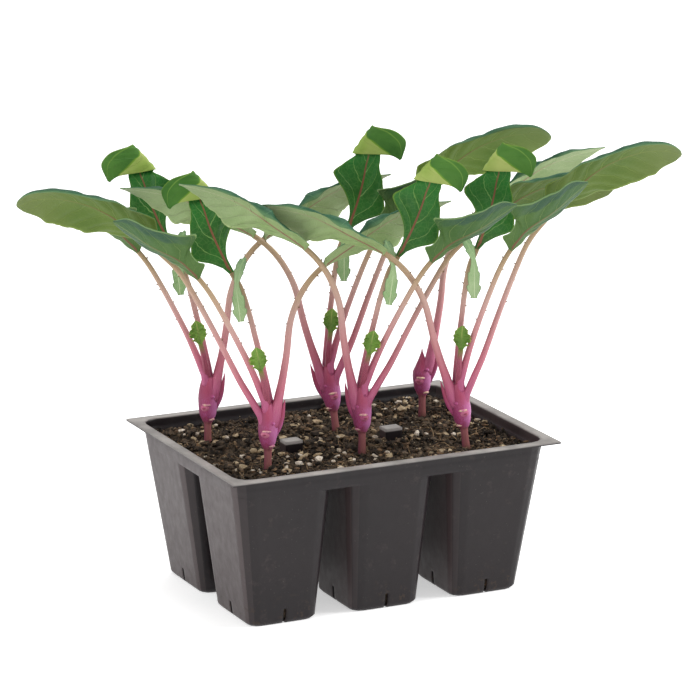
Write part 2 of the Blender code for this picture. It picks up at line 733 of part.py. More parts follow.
def main():
    clear_scene()
    collection = bpy.data.collections.new("kohlrabi_seedlings")
    bpy.context.scene.collection.children.link(collection)
    looks = {
        "tray": material("tray_plastic", (0.030, 0.027, 0.028), 0.42),
        "soil": material("soil", (0.030, 0.020, 0.014), 0.95),
        "stem": material("stem_skin", (0.48, 0.10, 0.30), 0.45),
        ARCHING: material("arching_leaf_skin", (0.28, 0.42, 0.20), 0.5),
        UPRIGHT: material("upright_leaf_skin", (0.03, 0.19, 0.04), 0.5),
        TWISTED: material("twisted_leaf_skin", (0.10, 0.23, 0.11), 0.5),
        LONG: material("long_leaf_skin", (0.17, 0.28, 0.09), 0.5),
        HANGING: material("hanging_leaf_skin", (0.30, 0.50, 0.26), 0.5),
        YOUNG: material("young_leaf_skin", (0.13, 0.36, 0.04), 0.5),
    }
    make_tray(looks["tray"], collection)
    make_soil(looks["soil"], collection)
    for plant in PLANTS:
        make_stem(plant, looks["stem"], collection)
        for kind in plant.backs:
            name = plant.name + "_" + kind
            add_object(name, leaf_mesh(name, plant, kind), looks[kind], collection)
    for thing in collection.objects:
        thing.data.transform(Matrix.Translation(TRAY_AT))


main()
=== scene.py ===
"""The looks of the tray of kohlrabi seedlings: finer leaves, stems and soil, and every finish."""

import math
import random
from dataclasses import dataclass

import bmesh
import bpy
import numpy as np
from mathutils import Matrix, Vector, noise


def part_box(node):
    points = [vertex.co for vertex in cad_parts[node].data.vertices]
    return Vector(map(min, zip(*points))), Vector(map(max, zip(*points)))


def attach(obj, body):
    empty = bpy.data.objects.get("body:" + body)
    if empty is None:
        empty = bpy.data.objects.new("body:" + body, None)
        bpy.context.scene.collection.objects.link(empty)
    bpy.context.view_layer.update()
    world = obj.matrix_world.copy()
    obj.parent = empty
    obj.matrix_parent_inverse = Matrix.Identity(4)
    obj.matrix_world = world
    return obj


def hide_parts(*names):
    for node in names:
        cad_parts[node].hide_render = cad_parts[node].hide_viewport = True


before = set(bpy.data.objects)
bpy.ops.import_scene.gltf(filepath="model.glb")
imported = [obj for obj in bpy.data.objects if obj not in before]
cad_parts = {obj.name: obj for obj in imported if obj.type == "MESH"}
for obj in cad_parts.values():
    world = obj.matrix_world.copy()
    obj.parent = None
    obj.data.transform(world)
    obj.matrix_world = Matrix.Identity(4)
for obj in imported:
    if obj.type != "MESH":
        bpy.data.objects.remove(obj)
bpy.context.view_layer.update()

MM = 0.001
ROOT = "root"

# The tray's middle, from the frame, and the sizes in millimetres that the solids use too.
LOW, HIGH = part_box("tray")
TRAY_AT = Vector(((LOW[0] + HIGH[0]) / 2, (LOW[1] + HIGH[1]) / 2, 0))
TRAY_LENGTH = 164.2
TRAY_WIDTH = 121.0
SOIL_LEVEL = 68.5
POST_AT = 26.8
BLADE_THICK = 0.6

# The photograph's eye, how far from it a millimetre is drawn true, and the picture's directions.
EYE = Vector((-784.3, -1640.8, 583.4))
TRUE_AT = 1900.6
FACING = math.radians(-25.7)
TIP_BACK = math.radians(14.4)
UP = Vector((0, 0, 1))
ALONG = Vector((math.cos(FACING), math.sin(FACING), 0))
AWAY = Vector((-math.sin(FACING), math.cos(FACING), 0))
PICTURE_UP = AWAY * math.sin(TIP_BACK) + UP * math.cos(TIP_BACK)
LOOK = AWAY * math.cos(TIP_BACK) - UP * math.sin(TIP_BACK)

# The camera, in metres about the tray's middle.
VIEW_DISTANCE = 1.9
VIEW_TARGET = Vector((0.0132, 0.0177, 0.1106))
LENS = 200.0

# The rhythm of a blade's side veins: how many, how far they sweep toward the edge and how
# strongly they bend there, and by how much one half lags behind the other.
VEINS = 7.5
SWEEP = 1.7
SWEEP_BEND = 1.25
LAG = 0.45

# The tray's height range in metres, over which the ramps of its finish run from 0 to 1.
TRAY_RANGE = 0.08


# Small helpers for meshes and materials.


def srgb(red, green, blue):
    """A colour as seen, 0 to 255, as linear light."""
    out = []
    for c in (red, green, blue):
        c /= 255
        out.append(c / 12.92 if c <= 0.04045 else ((c + 0.055) / 1.055) ** 2.4)
    return (*out, 1.0)


def add_object(name, data):
    made = bpy.data.objects.new(name, data)
    bpy.context.scene.collection.objects.link(made)
    return made


def aim(thing, direction):
    thing.rotation_mode = "QUATERNION"
    thing.rotation_quaternion = direction.to_track_quat("-Z", "Y")


def add_piece(name, points, faces, uvs=None, looks=(), slots=None, smooth=True):
    """A piece in millimetres about the tray's middle, riding on the root body."""
    mesh = bpy.data.meshes.new(name)
    mesh.from_pydata([Vector(p) * MM + TRAY_AT for p in points], [], faces)
    for look in looks:
        mesh.materials.append(look)
    if slots is not None:
        mesh.polygons.foreach_set("material_index", slots)
    if uvs is not None:
        layer = mesh.uv_layers.new(name="leaf")
        for loop in mesh.loops:
            layer.data[loop.index].uv = uvs[loop.vertex_index]
    mesh.polygons.foreach_set("use_smooth", [smooth] * len(mesh.polygons))
    piece = add_object(name, mesh)
    outward(mesh)
    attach(piece, ROOT)
    return piece


def outward(mesh):
    shape = bmesh.new()
    shape.from_mesh(mesh)
    bmesh.ops.recalc_face_normals(shape, faces=shape.faces[:])
    if shape.calc_volume(signed=True) < 0:
        bmesh.ops.reverse_faces(shape, faces=shape.faces[:])
    shape.to_mesh(mesh)
    shape.free()


class Look:
    """A Principled material with short calls for the nodes that feed it."""

    def __init__(self, name, roughness=0.5, specular=0.5):
        self.material = bpy.data.materials.new(name)
        self.material.use_nodes = True
        self.tree = self.material.node_tree
        self.shader = self.tree.nodes["Principled BSDF"]
        self.roughness(roughness)
        self.shader.inputs["Specular IOR Level"].default_value = specular
        self.place = self.node("TexCoord")

    def node(self, kind, **inputs):
        """A new node, with its inputs fed by name."""
        node = self.tree.nodes.new("ShaderNode" + kind)
        for name, value in inputs.items():
            self.feed(node.inputs[name], value)
        return node

    def feed(self, socket, value):
        """Links a socket, or sets it to a number or to a colour as seen, three values of 0 to 255."""
        if isinstance(value, bpy.types.NodeSocket):
            self.tree.links.new(value, socket)
        elif isinstance(value, tuple) and len(value) == 3:
            socket.default_value = srgb(*value)
        else:
            socket.default_value = value

    def math(self, operation, a, b=0.0, c=0.0):
        node = self.node("Math")
        node.operation = operation
        for socket, value in zip(node.inputs, (a, b, c)):
            self.feed(socket, value)
        return node.outputs[0]

    def times(self, a, b, plus=0.0):
        return self.math("MULTIPLY_ADD", a, b, plus)

    def gap(self, a, b):
        return self.math("ABSOLUTE", self.math("SUBTRACT", a, b))

    def noise(self, scale, detail=4.0, roughness=0.5, where=None, stretch=(1, 1, 1)):
        """Noise by object position in metres, or over the sockets given."""
        mapping = self.node("Mapping", Vector=where or self.place.outputs["Object"])
        mapping.inputs["Scale"].default_value = stretch
        at = mapping.outputs[0]
        node = self.node("TexNoise", Vector=at, Scale=scale, Detail=detail, Roughness=roughness)
        return node.outputs["Fac"]

    def cells(self, scale, feature="F1"):
        node = self.node("TexVoronoi", Vector=self.place.outputs["Object"], Scale=scale)
        node.feature = feature
        return node.outputs["Distance"]

    def ramp(self, value, *stops):
        """Colours or greys at places from 0 to 1."""
        node = self.node("ValToRGB")
        while len(node.color_ramp.elements) < len(stops):
            node.color_ramp.elements.new(0.5)
        for element, (place, colour) in zip(node.color_ramp.elements, stops):
            element.position = place
            element.color = srgb(*colour) if isinstance(colour, tuple) else (colour, colour, colour, 1)
        self.feed(node.inputs[0], value)
        return node.outputs[0]

    def rise(self, value, low, high, top=1.0):
        """A grey from 0 at low to top at high."""
        return self.ramp(value, (low, 0.0), (high, top))

    def mix(self, share, a, b):
        node = self.node("Mix")
        node.data_type = "RGBA"
        self.feed(node.inputs["Factor"], share)
        self.feed(node.inputs["A"], a)
        self.feed(node.inputs["B"], b)
        return node.outputs["Result"]

    def colour(self, value):
        self.feed(self.shader.inputs["Base Color"], value)

    def roughness(self, value):
        self.feed(self.shader.inputs["Roughness"], value)

    def bump(self, height, strength, distance):
        node = self.node("Bump", Strength=strength, Distance=distance, Height=height)
        self.feed(self.shader.inputs["Normal"], node.outputs[0])
        return node

    def parts(self, name):
        """The three values of a texture coordinate; UV's first two run along and across a leaf."""
        return list(self.node("SeparateXYZ", Vector=self.place.outputs[name]).outputs)

    def facing(self, direction):
        """How far the surface faces a direction, from -1 to 1."""
        node = self.node("VectorMath")
        node.operation = "DOT_PRODUCT"
        self.feed(node.inputs[0], self.place.outputs["Normal"])
        node.inputs[1].default_value = direction
        return node.outputs["Value"]


# Finishes.


def tray_look():
    """Black plastic: dusty, with a painted reflection that makes the faces turned to -x paler, worn and
    painted with a highlight on the rim and the post tops, dirty at the feet.
    """
    look = Look("tray_black_plastic", 0.34, 0.3)
    x, y, z = look.parts("Object")
    level = look.times(z, 1 / TRAY_RANGE)
    # Painted reflection: faces turned to -x are mixed toward a paler grey, standing in for the white
    # surroundings they reflect.
    side = look.rise(look.times(look.parts("Normal")[0], -1.0), 0.6, 0.95, 0.42)
    base = look.mix(look.noise(24, 3), (20, 15, 18), (34, 27, 29))
    base = look.mix(side, base, (93, 80, 80))
    dust = look.rise(look.noise(140, 6, 0.7), 0.58, 0.76, 0.30)
    base = look.mix(dust, base, (85, 72, 69))
    speck = look.ramp(look.cells(620), (0.04, 0.45), (0.09, 0.0))
    speck = look.times(speck, look.rise(look.noise(90, 2), 0.5, 0.62))
    base = look.mix(speck, base, (150, 144, 136))
    dirt = look.rise(look.noise(260, 5, 0.8), 0.56, 0.62, 0.9)
    base = look.mix(look.times(look.ramp(level, (0.06, 1.0), (0.22, 0.0)), dirt), base, (52, 40, 32))
    # The rim and the post tops are paler: partly wear, partly a painted highlight on these top faces.
    in_y = look.math("LESS_THAN", look.gap(y, TRAY_AT.y), 0.01)
    post = look.times(in_y, look.math("LESS_THAN", look.gap(x, TRAY_AT.x), 0.04))
    post_top = look.times(post, look.rise(level, 0.913, 0.916, 0.9))
    rim = look.math("MAXIMUM", look.rise(level, 0.943, 0.948), post_top)
    wear_and_highlight = look.times(rim, look.ramp(look.noise(55, 5, 0.6), (0.3, 0.5), (0.62, 1.0)))
    look.colour(look.mix(wear_and_highlight, base, (174, 169, 165)))
    scuff = look.noise(300, 4, 0.6, stretch=(1, 1, 0.6))
    look.roughness(look.ramp(scuff, (0.3, 0.36), (0.7, 0.5)))
    grain = look.bump(look.noise(900, 3), 0.2, 0.0002)
    rounded = look.node("Bevel", Radius=0.0025)
    rounded.samples = 8
    look.feed(grain.inputs["Normal"], rounded.outputs[0])
    return look.material


def soil_look(name, dark, light, flecks=0.5):
    """Damp brown-black mix with rusty and tan flecks."""
    look = Look(name, 0.88, 0.2)
    mottle = look.noise(260, 6, 0.75)
    broad = look.noise(50, 3)
    mixed = look.mix(look.rise(mottle, 0.44, 0.64), dark, light)
    deep = look.mix(look.rise(broad, 0.42, 0.68, 0.7), mixed, (28, 22, 19))
    fleck = look.rise(look.noise(700, 4, 0.7), 0.60, 0.68, flecks)
    look.colour(look.mix(fleck, deep, (150, 112, 78)))
    look.bump(look.noise(800, 5, 0.8), 0.8, 0.0007)
    return look.material


def grain_look(name, pale, shade):
    look = Look(name, 0.85, 0.3)
    look.colour(look.mix(look.rise(look.noise(380, 4, 0.6), 0.35, 0.65), pale, shade))
    look.bump(look.noise(1500, 4, 0.7), 0.5, 0.0003)
    return look.material


def stalk_look():
    """Petiole skin: magenta at the stem, pink, then brownish under the blade."""
    look = Look("petiole_skin", 0.42, 0.3)
    along = look.parts("UV")[0]
    base = look.ramp(
        along, (0.0, (175, 80, 123)), (0.08, (185, 98, 119)), (0.17, (187, 124, 129)),
        (0.30, (183, 148, 138)), (0.42, (164, 140, 109)), (0.5, (139, 120, 82)))
    streak = look.noise(40, 3, 0.6, look.place.outputs["UV"], (0.6, 5, 1))
    pale = look.mix(look.rise(streak, 0.48, 0.72, 0.4), base, (214, 176, 168))
    look.colour(look.mix(look.ramp(streak, (0.25, 0.4), (0.4, 0.0)), pale, (146, 112, 82)))
    look.bump(streak, 0.2, 0.0003)
    return look.material


def prickle_look():
    look = Look("prickle", 0.5, 0.3)
    look.colour(look.mix(look.noise(900, 2), (84, 84, 50), (140, 104, 72)))
    return look.material


def blade_look(name, deep, light, vein, rib, edge, tip=None, mottle=0.6, roughness=0.5, raised=0.5,
               lobe=False, tip_from=0.4, edge_from=0.93, hood=None, turned=None):
    """Blade skin: midrib, side veins, a fine net between them and a paler edge."""
    look = Look(name, roughness, 0.22)
    along, across = look.parts("UV")[:2]
    blade = look.times(along, 2.0, -1.0)
    out = look.times(look.gap(across, 0.5), 2.0)
    far = look.math("GREATER_THAN", across, 0.5)
    warp = look.noise(130, 3, 0.6)
    lines = look.times(blade, VEINS, look.times(far, LAG))
    lines = look.math("SUBTRACT", lines, look.times(look.math("POWER", out, SWEEP_BEND), SWEEP))
    lines = look.math("ADD", lines, look.times(warp, 0.55, -0.27))
    off = look.gap(look.math("FRACT", lines), 0.5)
    width = look.times(out, -0.03, 0.055)
    veins = look.math("SUBTRACT", 1.0, look.math("MINIMUM", look.math("DIVIDE", off, width), 1.0))
    net = look.ramp(look.cells(420, "DISTANCE_TO_EDGE"), (0.0, 0.7), (0.08, 0.0))
    middle = look.ramp(out, (0.042, 1.0), (0.068, 0.0))
    broad = look.rise(look.noise(42, 3, 0.55), 0.35, 0.65)
    fine = look.noise(600, 4, 0.6)
    base = look.mix(look.times(broad, mottle), deep, light)
    if tip:
        base = look.mix(look.rise(blade, tip_from, tip_from + 0.3, 0.9), base, tip)
    if hood:
        base = look.mix(look.ramp(blade, (0.05, 0.9), (0.34, 0.0)), base, hood)
    if turned:
        strip = look.times(broad, 0.16, look.math("SUBTRACT", out, 0.08))
        strip = look.times(look.rise(strip, 0.56, 0.64, 0.9), look.rise(blade, 0.32, 0.5))
        base = look.mix(strip, base, turned)
    for pattern, strength in ((fine, 0.16), (net, 0.18), (veins, 0.7)):
        base = look.mix(look.times(pattern, strength), base, vein)
    base = look.mix(look.rise(out, edge_from, 0.99, 0.85), base, edge)
    tip_rib = look.mix(look.rise(blade, 0.35, 0.8, 0.85), rib, vein)
    skin = look.mix(middle, base, tip_rib)
    if lobe:
        skin = lobe_skin(look, along, across, skin)
    look.colour(skin)
    relief = look.math("ADD", look.times(veins, 0.7), look.times(net, 0.25))
    look.bump(look.math("ADD", relief, look.times(fine, 0.15)), raised, 0.0005)
    return look.material


def lobe_skin(look, along, across, skin):
    """The folded tip of the upright leaf: dark green, with an olive corner left plain."""
    place = look.times(along, 2.0 * (len(UPRIGHT_SHEET) - 1), 1.0 - len(UPRIGHT_SHEET))
    border = look.times(look.math("SUBTRACT", place, 9.0), 0.25, 0.47)
    inside = look.math("SUBTRACT", border, across)
    folded = look.math("GREATER_THAN", place, 8.2)
    dark = look.times(folded, look.math("GREATER_THAN", inside, 0.0))
    broad = look.rise(look.noise(60, 3), 0.35, 0.65)
    olive = look.mix(broad, (136, 162, 72), (169, 182, 102))
    plain = look.mix(folded, skin, olive)
    green = look.mix(broad, (51, 100, 33), (76, 122, 47))
    rib = look.gap(across, look.times(place, 0.145, -1.3))
    green = look.mix(look.ramp(rib, (0.008, 0.7), (0.03, 0.0)), green, (112, 150, 62))
    green = look.mix(look.ramp(inside, (0.0, 0.8), (0.06, 0.0)), green, (130, 168, 50))
    green = look.mix(look.ramp(across, (0.0, 0.7), (0.05, 0.0)), green, (120, 150, 52))
    return look.mix(dark, plain, green)


def stem_look():
    """Brown neck, magenta swelling with lilac light and a deep pink crown, from the foot up; painted
    shade on the side facing the picture's left and a painted highlight on the swelling's side facing
    its right.
    """
    look = Look("stem_skin_fine", 0.42, 0.3)
    along = look.parts("UV")[0]
    wobble = look.times(look.noise(200, 3), 0.10, -0.05)
    base = look.ramp(
        look.math("ADD", along, wobble), (0.02, (90, 64, 53)), (0.12, (147, 92, 90)),
        (0.33, (160, 98, 101)), (0.39, (160, 64, 98)), (0.58, (160, 56, 101)),
        (0.80, (163, 66, 97)), (0.99, (168, 74, 102)))
    streak = look.noise(30, 4, 0.6, look.place.outputs["UV"], (0.8, 3, 1))
    bulb = look.ramp(along, (0.34, 0.0), (0.45, 0.55), (0.65, 0.45), (0.8, 0.0))
    light = look.times(bulb, look.rise(streak, 0.44, 0.64))
    lilac = look.mix(light, base, (196, 122, 182))
    pale = look.mix(look.ramp(streak, (0.3, 0.4), (0.42, 0.0)), lilac, (210, 132, 150))
    # Painted shade on the side facing away from ALONG, and a painted highlight on the swelling's side
    # facing along it, both set by the surface normal.
    facing = look.facing(ALONG)
    turned = look.times(facing, -1.0)
    painted_shade_side = look.mix(look.rise(turned, 0.05, 0.9, 0.6), pale, (112, 44, 76))
    swollen = look.ramp(along, (0.33, 0.0), (0.42, 1.0), (0.6, 1.0), (0.78, 0.25))
    painted_highlight_side = look.times(look.rise(facing, 0.1, 0.9, 0.7), swollen)
    look.colour(look.mix(painted_highlight_side, painted_shade_side, (214, 138, 196)))
    look.bump(look.math("ADD", streak, look.noise(500, 2)), 0.15, 0.0003)
    return look.material


def scar_look():
    look = Look("leaf_scar", 0.6, 0.25)
    pink = look.rise(look.noise(500, 3), 0.4, 0.62)
    look.colour(look.mix(pink, (226, 196, 166), (196, 120, 150)))
    return look.material


def sheath_look():
    """Dark folded stalks of the youngest leaf."""
    look = Look("young_sheath", 0.45, 0.3)
    along = look.parts("UV")[0]
    streak = look.noise(34, 3, 0.6, look.place.outputs["UV"], (0.3, 9, 1))
    dark = look.mix(look.rise(streak, 0.42, 0.58), (108, 44, 62), (176, 92, 112))
    look.colour(look.mix(look.rise(along, 0.36, 0.5), dark, (104, 116, 48)))
    return look.material


# Where the plants stand and how their leaves grow: the same values as the solids.

ARCHING, UPRIGHT, TWISTED = "arching_leaf", "upright_leaf", "twisted_leaf"
LONG, HANGING, YOUNG = "long_leaf", "hanging_leaf", "young_leaf"


class Plant:
    """Where one plant stands, which way it is mirrored and how far it leans."""

    def __init__(self, name, x, y, side, lean, backs):
        self.name = name
        self.foot = Vector((x, y, SOIL_LEVEL))
        self.side = side
        self.lean = math.radians(lean)
        self.backs = backs

    def place(self, across, rise, back):
        """A point of the plant's plane: across and rise in it, back away from it."""
        across *= self.side
        a = across * math.cos(self.lean) - rise * math.sin(self.lean)
        r = across * math.sin(self.lean) + rise * math.cos(self.lean)
        near = self.foot - EYE
        drawn = near + (ALONG * a + PICTURE_UP * r) * (LOOK.dot(near) / TRUE_AT)
        return EYE + drawn * ((AWAY.dot(near) + back) / AWAY.dot(drawn))


PLANTS = [
    Plant("back_left", -59.0, 27.0, -1, 0,
          {ARCHING: 44, UPRIGHT: 24, TWISTED: 2, HANGING: 24, YOUNG: 0}),
    Plant("front_left", -52.0, -28.0, -1, 0,
          {ARCHING: 46, UPRIGHT: 24, TWISTED: -14, LONG: 8, HANGING: 24, YOUNG: 0}),
    Plant("back_middle", 6.5, 19.0, 1, 7.4,
          {ARCHING: -20, UPRIGHT: 6, TWISTED: -2, LONG: 26, HANGING: 6, YOUNG: 0}),
    Plant("front_middle", 1.0, -21.0, 1, 0,
          {ARCHING: -24, UPRIGHT: -6, TWISTED: -20, LONG: 40, HANGING: -6, YOUNG: 0}),
    Plant("back_right", 57.0, 26.0, -1, 0, {ARCHING: 24}),
    Plant("front_right", 50.0, -36.0, 1, 7.4,
          {ARCHING: -28, UPRIGHT: -6, TWISTED: -22, LONG: 6, HANGING: -6, YOUNG: 0}),
]


@dataclass
class Leaf:
    """One kind of leaf, drawn growing to the right: widths in millimetres, turns in degrees."""

    start_back: float
    route: list
    blade_from: int
    petiole: tuple
    side: int = 1
    near: tuple = ()
    far: tuple = ()
    turn: tuple = (80, 80)
    arch: tuple = (0, 0)
    wave: float = 0.0
    waves: float = 2.0
    tooth: float = 0.0
    teeth: int = 6
    blunt: float = 0.0
    rings: tuple = (26, 60)
    roll: tuple = (0, 0)
    sheet: tuple = ()
    spines: int = 0


# The plant whose long leaf's underside takes a lighter copy of the olive finish: painted light on that
# one leaf.
LIT_COPY_PLANT = "back_middle"

# The blades below are drawn by their edges: each row is the edge toward the viewer or
# away from the stem, the midrib and the other edge.

# The upright blade: wedge-shaped, then folded forward along its slanting top, with
# the tip hanging down in front.
UPRIGHT_SHEET = (
    ((21.8, 99.6, 0), (19.4, 100.0, 0), (18.0, 101.0, 0)),
    ((27.4, 101.8, -0.6), (21.4, 104.4, 0), (20.0, 105.2, -0.4)),
    ((36.0, 104.2, -1.6), (24.1, 109.9, 0), (20.4, 111.0, -1.2)),
    ((37.8, 112.0, -0.8), (26.9, 116.2, 0.2), (18.6, 118.2, -2.0)),
    ((38.2, 119.6, -1.6), (29.3, 122.4, 0.2), (15.1, 126.8, -2.4)),
    ((37.6, 126.4, -0.8), (31.3, 128.6, 0.3), (20.2, 130.6, -1.2)),
    ((38.8, 132.6, 0.5), (33.2, 133.8, 0.8), (26.0, 133.5, 0.6)),
    ((37.8, 145.4, 1.5), (32.6, 140.4, 1.6), (26.4, 134.7, 1.5)),
    ((36.7, 147.4, 0.0), (31.4, 142.0, 0.1), (25.2, 135.4, 0.0)),
    ((38.4, 146.4, -1.5), (33.2, 141.2, -1.6), (27.0, 134.6, -1.5)),
    ((46.6, 143.6, -2.2), (40.6, 139.0, -2.7), (35.0, 133.2, -2.0)),
    ((50.8, 140.0, -2.8), (46.8, 136.4, -3.3), (43.0, 131.8, -2.6)),
    ((52.0, 136.2, -3.2), (48.8, 132.6, -3.5), (46.4, 130.0, -3.1)),
    ((49.0, 129.4, -3.3), (48.4, 129.0, -3.4), (47.8, 128.6, -3.3)),
)

# The twisted blade, seen from below: two lobes at its foot, its upper half raised
# toward the viewer and its other half folded away behind the midrib.
TWISTED_SHEET = (
    ((32.2, 97.6, -0.6), (35.2, 96.4, 0), (36.6, 95.4, 0.8)),
    ((30.8, 101.6, -1.6), (37.0, 98.2, 0), (38.6, 96.6, 2.2)),
    ((34.6, 103.2, -1.8), (39.0, 100.0, 0), (40.6, 98.2, 3.4)),
    ((38.0, 108.8, -1.6), (41.4, 102.2, 0), (43.0, 100.2, 4.4)),
    ((34.8, 115.8, -4.4), (44.4, 104.2, 0), (45.8, 102.2, 5.2)),
    ((43.6, 116.4, -4.8), (48.4, 106.3, 0), (49.6, 104.3, 5.4)),
    ((51.8, 117.2, -4.8), (54.0, 108.9, 0), (55.2, 107.0, 5.2)),
    ((58.8, 119.6, -5.0), (59.8, 112.2, 0), (61.0, 110.4, 4.8)),
    ((64.6, 122.8, -4.8), (64.6, 115.6, 0), (65.8, 113.9, 4.0)),
    ((69.6, 124.0, -3.6), (69.4, 118.8, 0), (70.4, 117.4, 2.8)),
    ((73.4, 123.4, -1.6), (73.6, 121.4, 0), (74.0, 120.6, 1.2)),
    ((75.6, 122.8, -0.2), (75.7, 122.5, 0), (75.8, 122.2, 0.2)),
)

LEAVES = {
    ARCHING: Leaf(
        side=-1, start_back=-0.8,
        route=[(3.6, 27.5), (5.3, 36.7), (7.0, 45.0), (9.1, 57.7), (10.9, 73.3), (15.2, 85.5),
               (21.0, 94.6), (27.6, 101.2), (34.5, 106.3), (42.5, 111.6), (53.5, 119.3),
               (62.0, 124.2), (75.0, 129.0), (89.5, 132.6)],
        blade_from=7, petiole=(2.1, 1.6, 1.35),
        near=(6.0, 8.0, 11.5, 13.5, 14, 11, 6, 0.5), far=(3.0, 4.0, 8, 14, 17, 13, 6, 0.5),
        turn=(-34, -40, -44, -44, -44, -42, -38, -30), arch=(0, 8, 14, 18, 20, 18, 12, 4),
        wave=0.14, waves=3.0, tooth=0.06, teeth=8, roll=(0, 30, 100, 130, 120, 90, 50, 10), spines=5),
    UPRIGHT: Leaf(
        start_back=2.4,
        route=[(-0.8, 34.6), (1.2, 45.0), (3.4, 55.2), (6.4, 67.0), (9.0, 77.2), (13.2, 90.0),
               (17.7, 97.6), (21.2, 107.5), (28.9, 125.0), (36.7, 141.4)],
        blade_from=6, petiole=(1.7, 1.35, 1.3), wave=0.04, waves=5.0, sheet=UPRIGHT_SHEET, spines=6),
    TWISTED: Leaf(
        start_back=-1.7,
        route=[(1.5, 34.6), (6.2, 46.0), (11.7, 57.7), (20.5, 74.3), (27.8, 86.8), (33.9, 94.8),
               (41.4, 102.4), (53.0, 108.6), (68.5, 118.4), (75.6, 122.5)],
        blade_from=5, petiole=(1.7, 1.35, 1.2), turn=(-75, -75), wave=0.05, waves=4.0,
        sheet=TWISTED_SHEET, spines=5),
    LONG: Leaf(
        start_back=-1.5,
        route=[(3.6, 27.8), (8.8, 36.6), (14.4, 46.0), (25.8, 68.0), (38.0, 90.0), (44.4, 99.2),
               (52.6, 107.0), (60.8, 113.6), (68.4, 119.5), (74.5, 123.9), (79.7, 127.0),
               (86.3, 130.0), (93.0, 132.0), (99.2, 133.3), (106.0, 133.9), (114.4, 133.2),
               (122.7, 130.0)],
        blade_from=6, petiole=(1.65, 1.35, 1.25),
        near=(1.3, 14, 13.5, 14, 13.5, 12.5, 10), far=(1.3, 3, 13, 18.5, 19.5, 17, 13),
        turn=(-60, -58, -50, -46, -46, -44, -38), arch=(0, -10, -2, 10, 14, 14, 6),
        wave=0.05, waves=3.0, blunt=0.16, roll=(0, 0, 40, 90, 100, 80, 20), spines=6),
    HANGING: Leaf(
        start_back=-2.6,
        route=[(10.9, 104.9), (11.4, 104.2), (13.0, 101.0), (15.0, 95.0), (15.2, 88.5), (14.3, 81.0),
               (13.4, 73.6)],
        blade_from=1, petiole=(0.9, 0.8),
        near=(2.0, 3.2, 2.1, 1.4, 3.0, 3.9, 4.0, 2.2), far=(2.0, 3.0, 2.0, 1.3, 2.4, 3.0, 3.3, 1.4),
        turn=(60, 70, 84, 92, 98, 100, 100), arch=(-40, -34, -20, -10, 0, 0, 0),
        wave=0.12, waves=2.5, tooth=0.27, teeth=5, rings=(4, 48)),
    YOUNG: Leaf(
        start_back=-2.8,
        route=[(0.3, 33.0, 2.4), (0.9, 38.0, -0.4), (2.0, 44.0, -2.6), (3.6, 50.0, -3.6),
               (4.4, 54.0, -3.8), (5.2, 58.0, -4.0), (5.9, 61.0, -4.2)],
        blade_from=3, petiole=(1.7, 1.2),
        near=(1.2, 4.4, 4.6, 4.0, 2.2), far=(1.2, 4.0, 4.4, 3.8, 2.0),
        turn=(80, 80, 80, 80, 80), arch=(-20, -40, 10, -30, 0),
        wave=0.36, waves=4.5, tooth=0.24, teeth=6, blunt=0.3, rings=(12, 48)),
}

# How far from the midrib, as a share of the half width, the columns of a blade lie.
COLUMNS = (1.0, 0.96, 0.92, 0.87, 0.82, 0.76, 0.67, 0.56, 0.44, 0.32, 0.2, 0.1, 0.0)
# The outer share of the edge toward the viewer that rolls over.
ROLLED = 0.8
RIB_SHARE = 0.04
# How far a petiole runs on into the stem, and how far below it points there.
FOOT_RUN = 5.5
FOOT_AIM = 16


def between(values, t):
    """A smooth value at t, 0 to 1, among values set at equal steps."""
    place = min(max(t, 0.0), 1.0) * (len(values) - 1)
    low = min(int(place), len(values) - 2)
    share = place - low
    ease = share * share * (3 - 2 * share)
    return values[low] + (values[low + 1] - values[low]) * (0.5 * ease + 0.5 * share)


def smooth_route(points, per=8):
    """A Catmull-Rom curve through the points, sampled per times a span."""
    pts = [points[0] * 2 - points[1]] + points + [points[-1] * 2 - points[-2]]
    out = []
    for i in range(1, len(pts) - 2):
        p0, p1, p2, p3 = pts[i - 1 : i + 3]
        for k in range(per):
            t = k / per
            a = p1 * 2 + (p2 - p0) * t
            b = (p0 * 2 - p1 * 5 + p2 * 4 - p3) * t**2
            c = (p1 * 3 - p0 - p2 * 3 + p3) * t**3
            out.append((a + b + c) / 2)
    out.append(points[-1])
    return out


def sample(curve, start, stop, count, skip_first):
    """Points at equal lengths along part of a curve, with their directions."""
    part = curve[start : stop + 1]
    run = [0.0]
    for a, b in zip(part, part[1:]):
        run.append(run[-1] + (b - a).length)
    wanted = np.linspace(0, run[-1], count)
    if skip_first:
        wanted = wanted[1:]
    out = []
    for w in wanted:
        k = min(int(np.searchsorted(run, w, side="right")) - 1, len(part) - 2)
        share = (w - run[k]) / max(run[k + 1] - run[k], 1e-9)
        at = start + k
        ahead = curve[min(at + 3, len(curve) - 1)] - curve[max(at - 2, 0)]
        after = curve[min(at + 4, len(curve) - 1)] - curve[max(at - 1, 0)]
        here = part[k].lerp(part[k + 1], share)
        out.append((here, ahead.lerp(after, share).normalized(), w / run[-1]))
    return out


def leaf_point(plant, kind, across, rise, bent=0.0):
    """A point of a leaf about the tray's middle, in millimetres."""
    leaf = LEAVES[kind]
    ruler = LEAVES[UPRIGHT if kind == HANGING else kind].route
    first, last = ruler[0][1], max(p[1] for p in ruler)
    grown = max(rise - first, 0) / (last - first)
    back = leaf.start_back + plant.backs[kind] * grown**1.4 + bent
    return plant.place(leaf.side * across, rise, back)


def leaf_route(plant, kind):
    """The leaf's middle line."""
    return [leaf_point(plant, kind, *p) for p in LEAVES[kind].route]


def axes_at(hand, ahead):
    """The directions across the leaf and up from it for any tilt in degrees."""
    left = ahead.cross(AWAY).normalized() * hand
    away = (AWAY - ahead * AWAY.dot(ahead)).normalized()

    def across(degrees):
        turn = math.radians(degrees)
        return away * math.cos(turn) + left * math.sin(turn)

    return across, lambda degrees: ahead.cross(across(degrees)) * hand


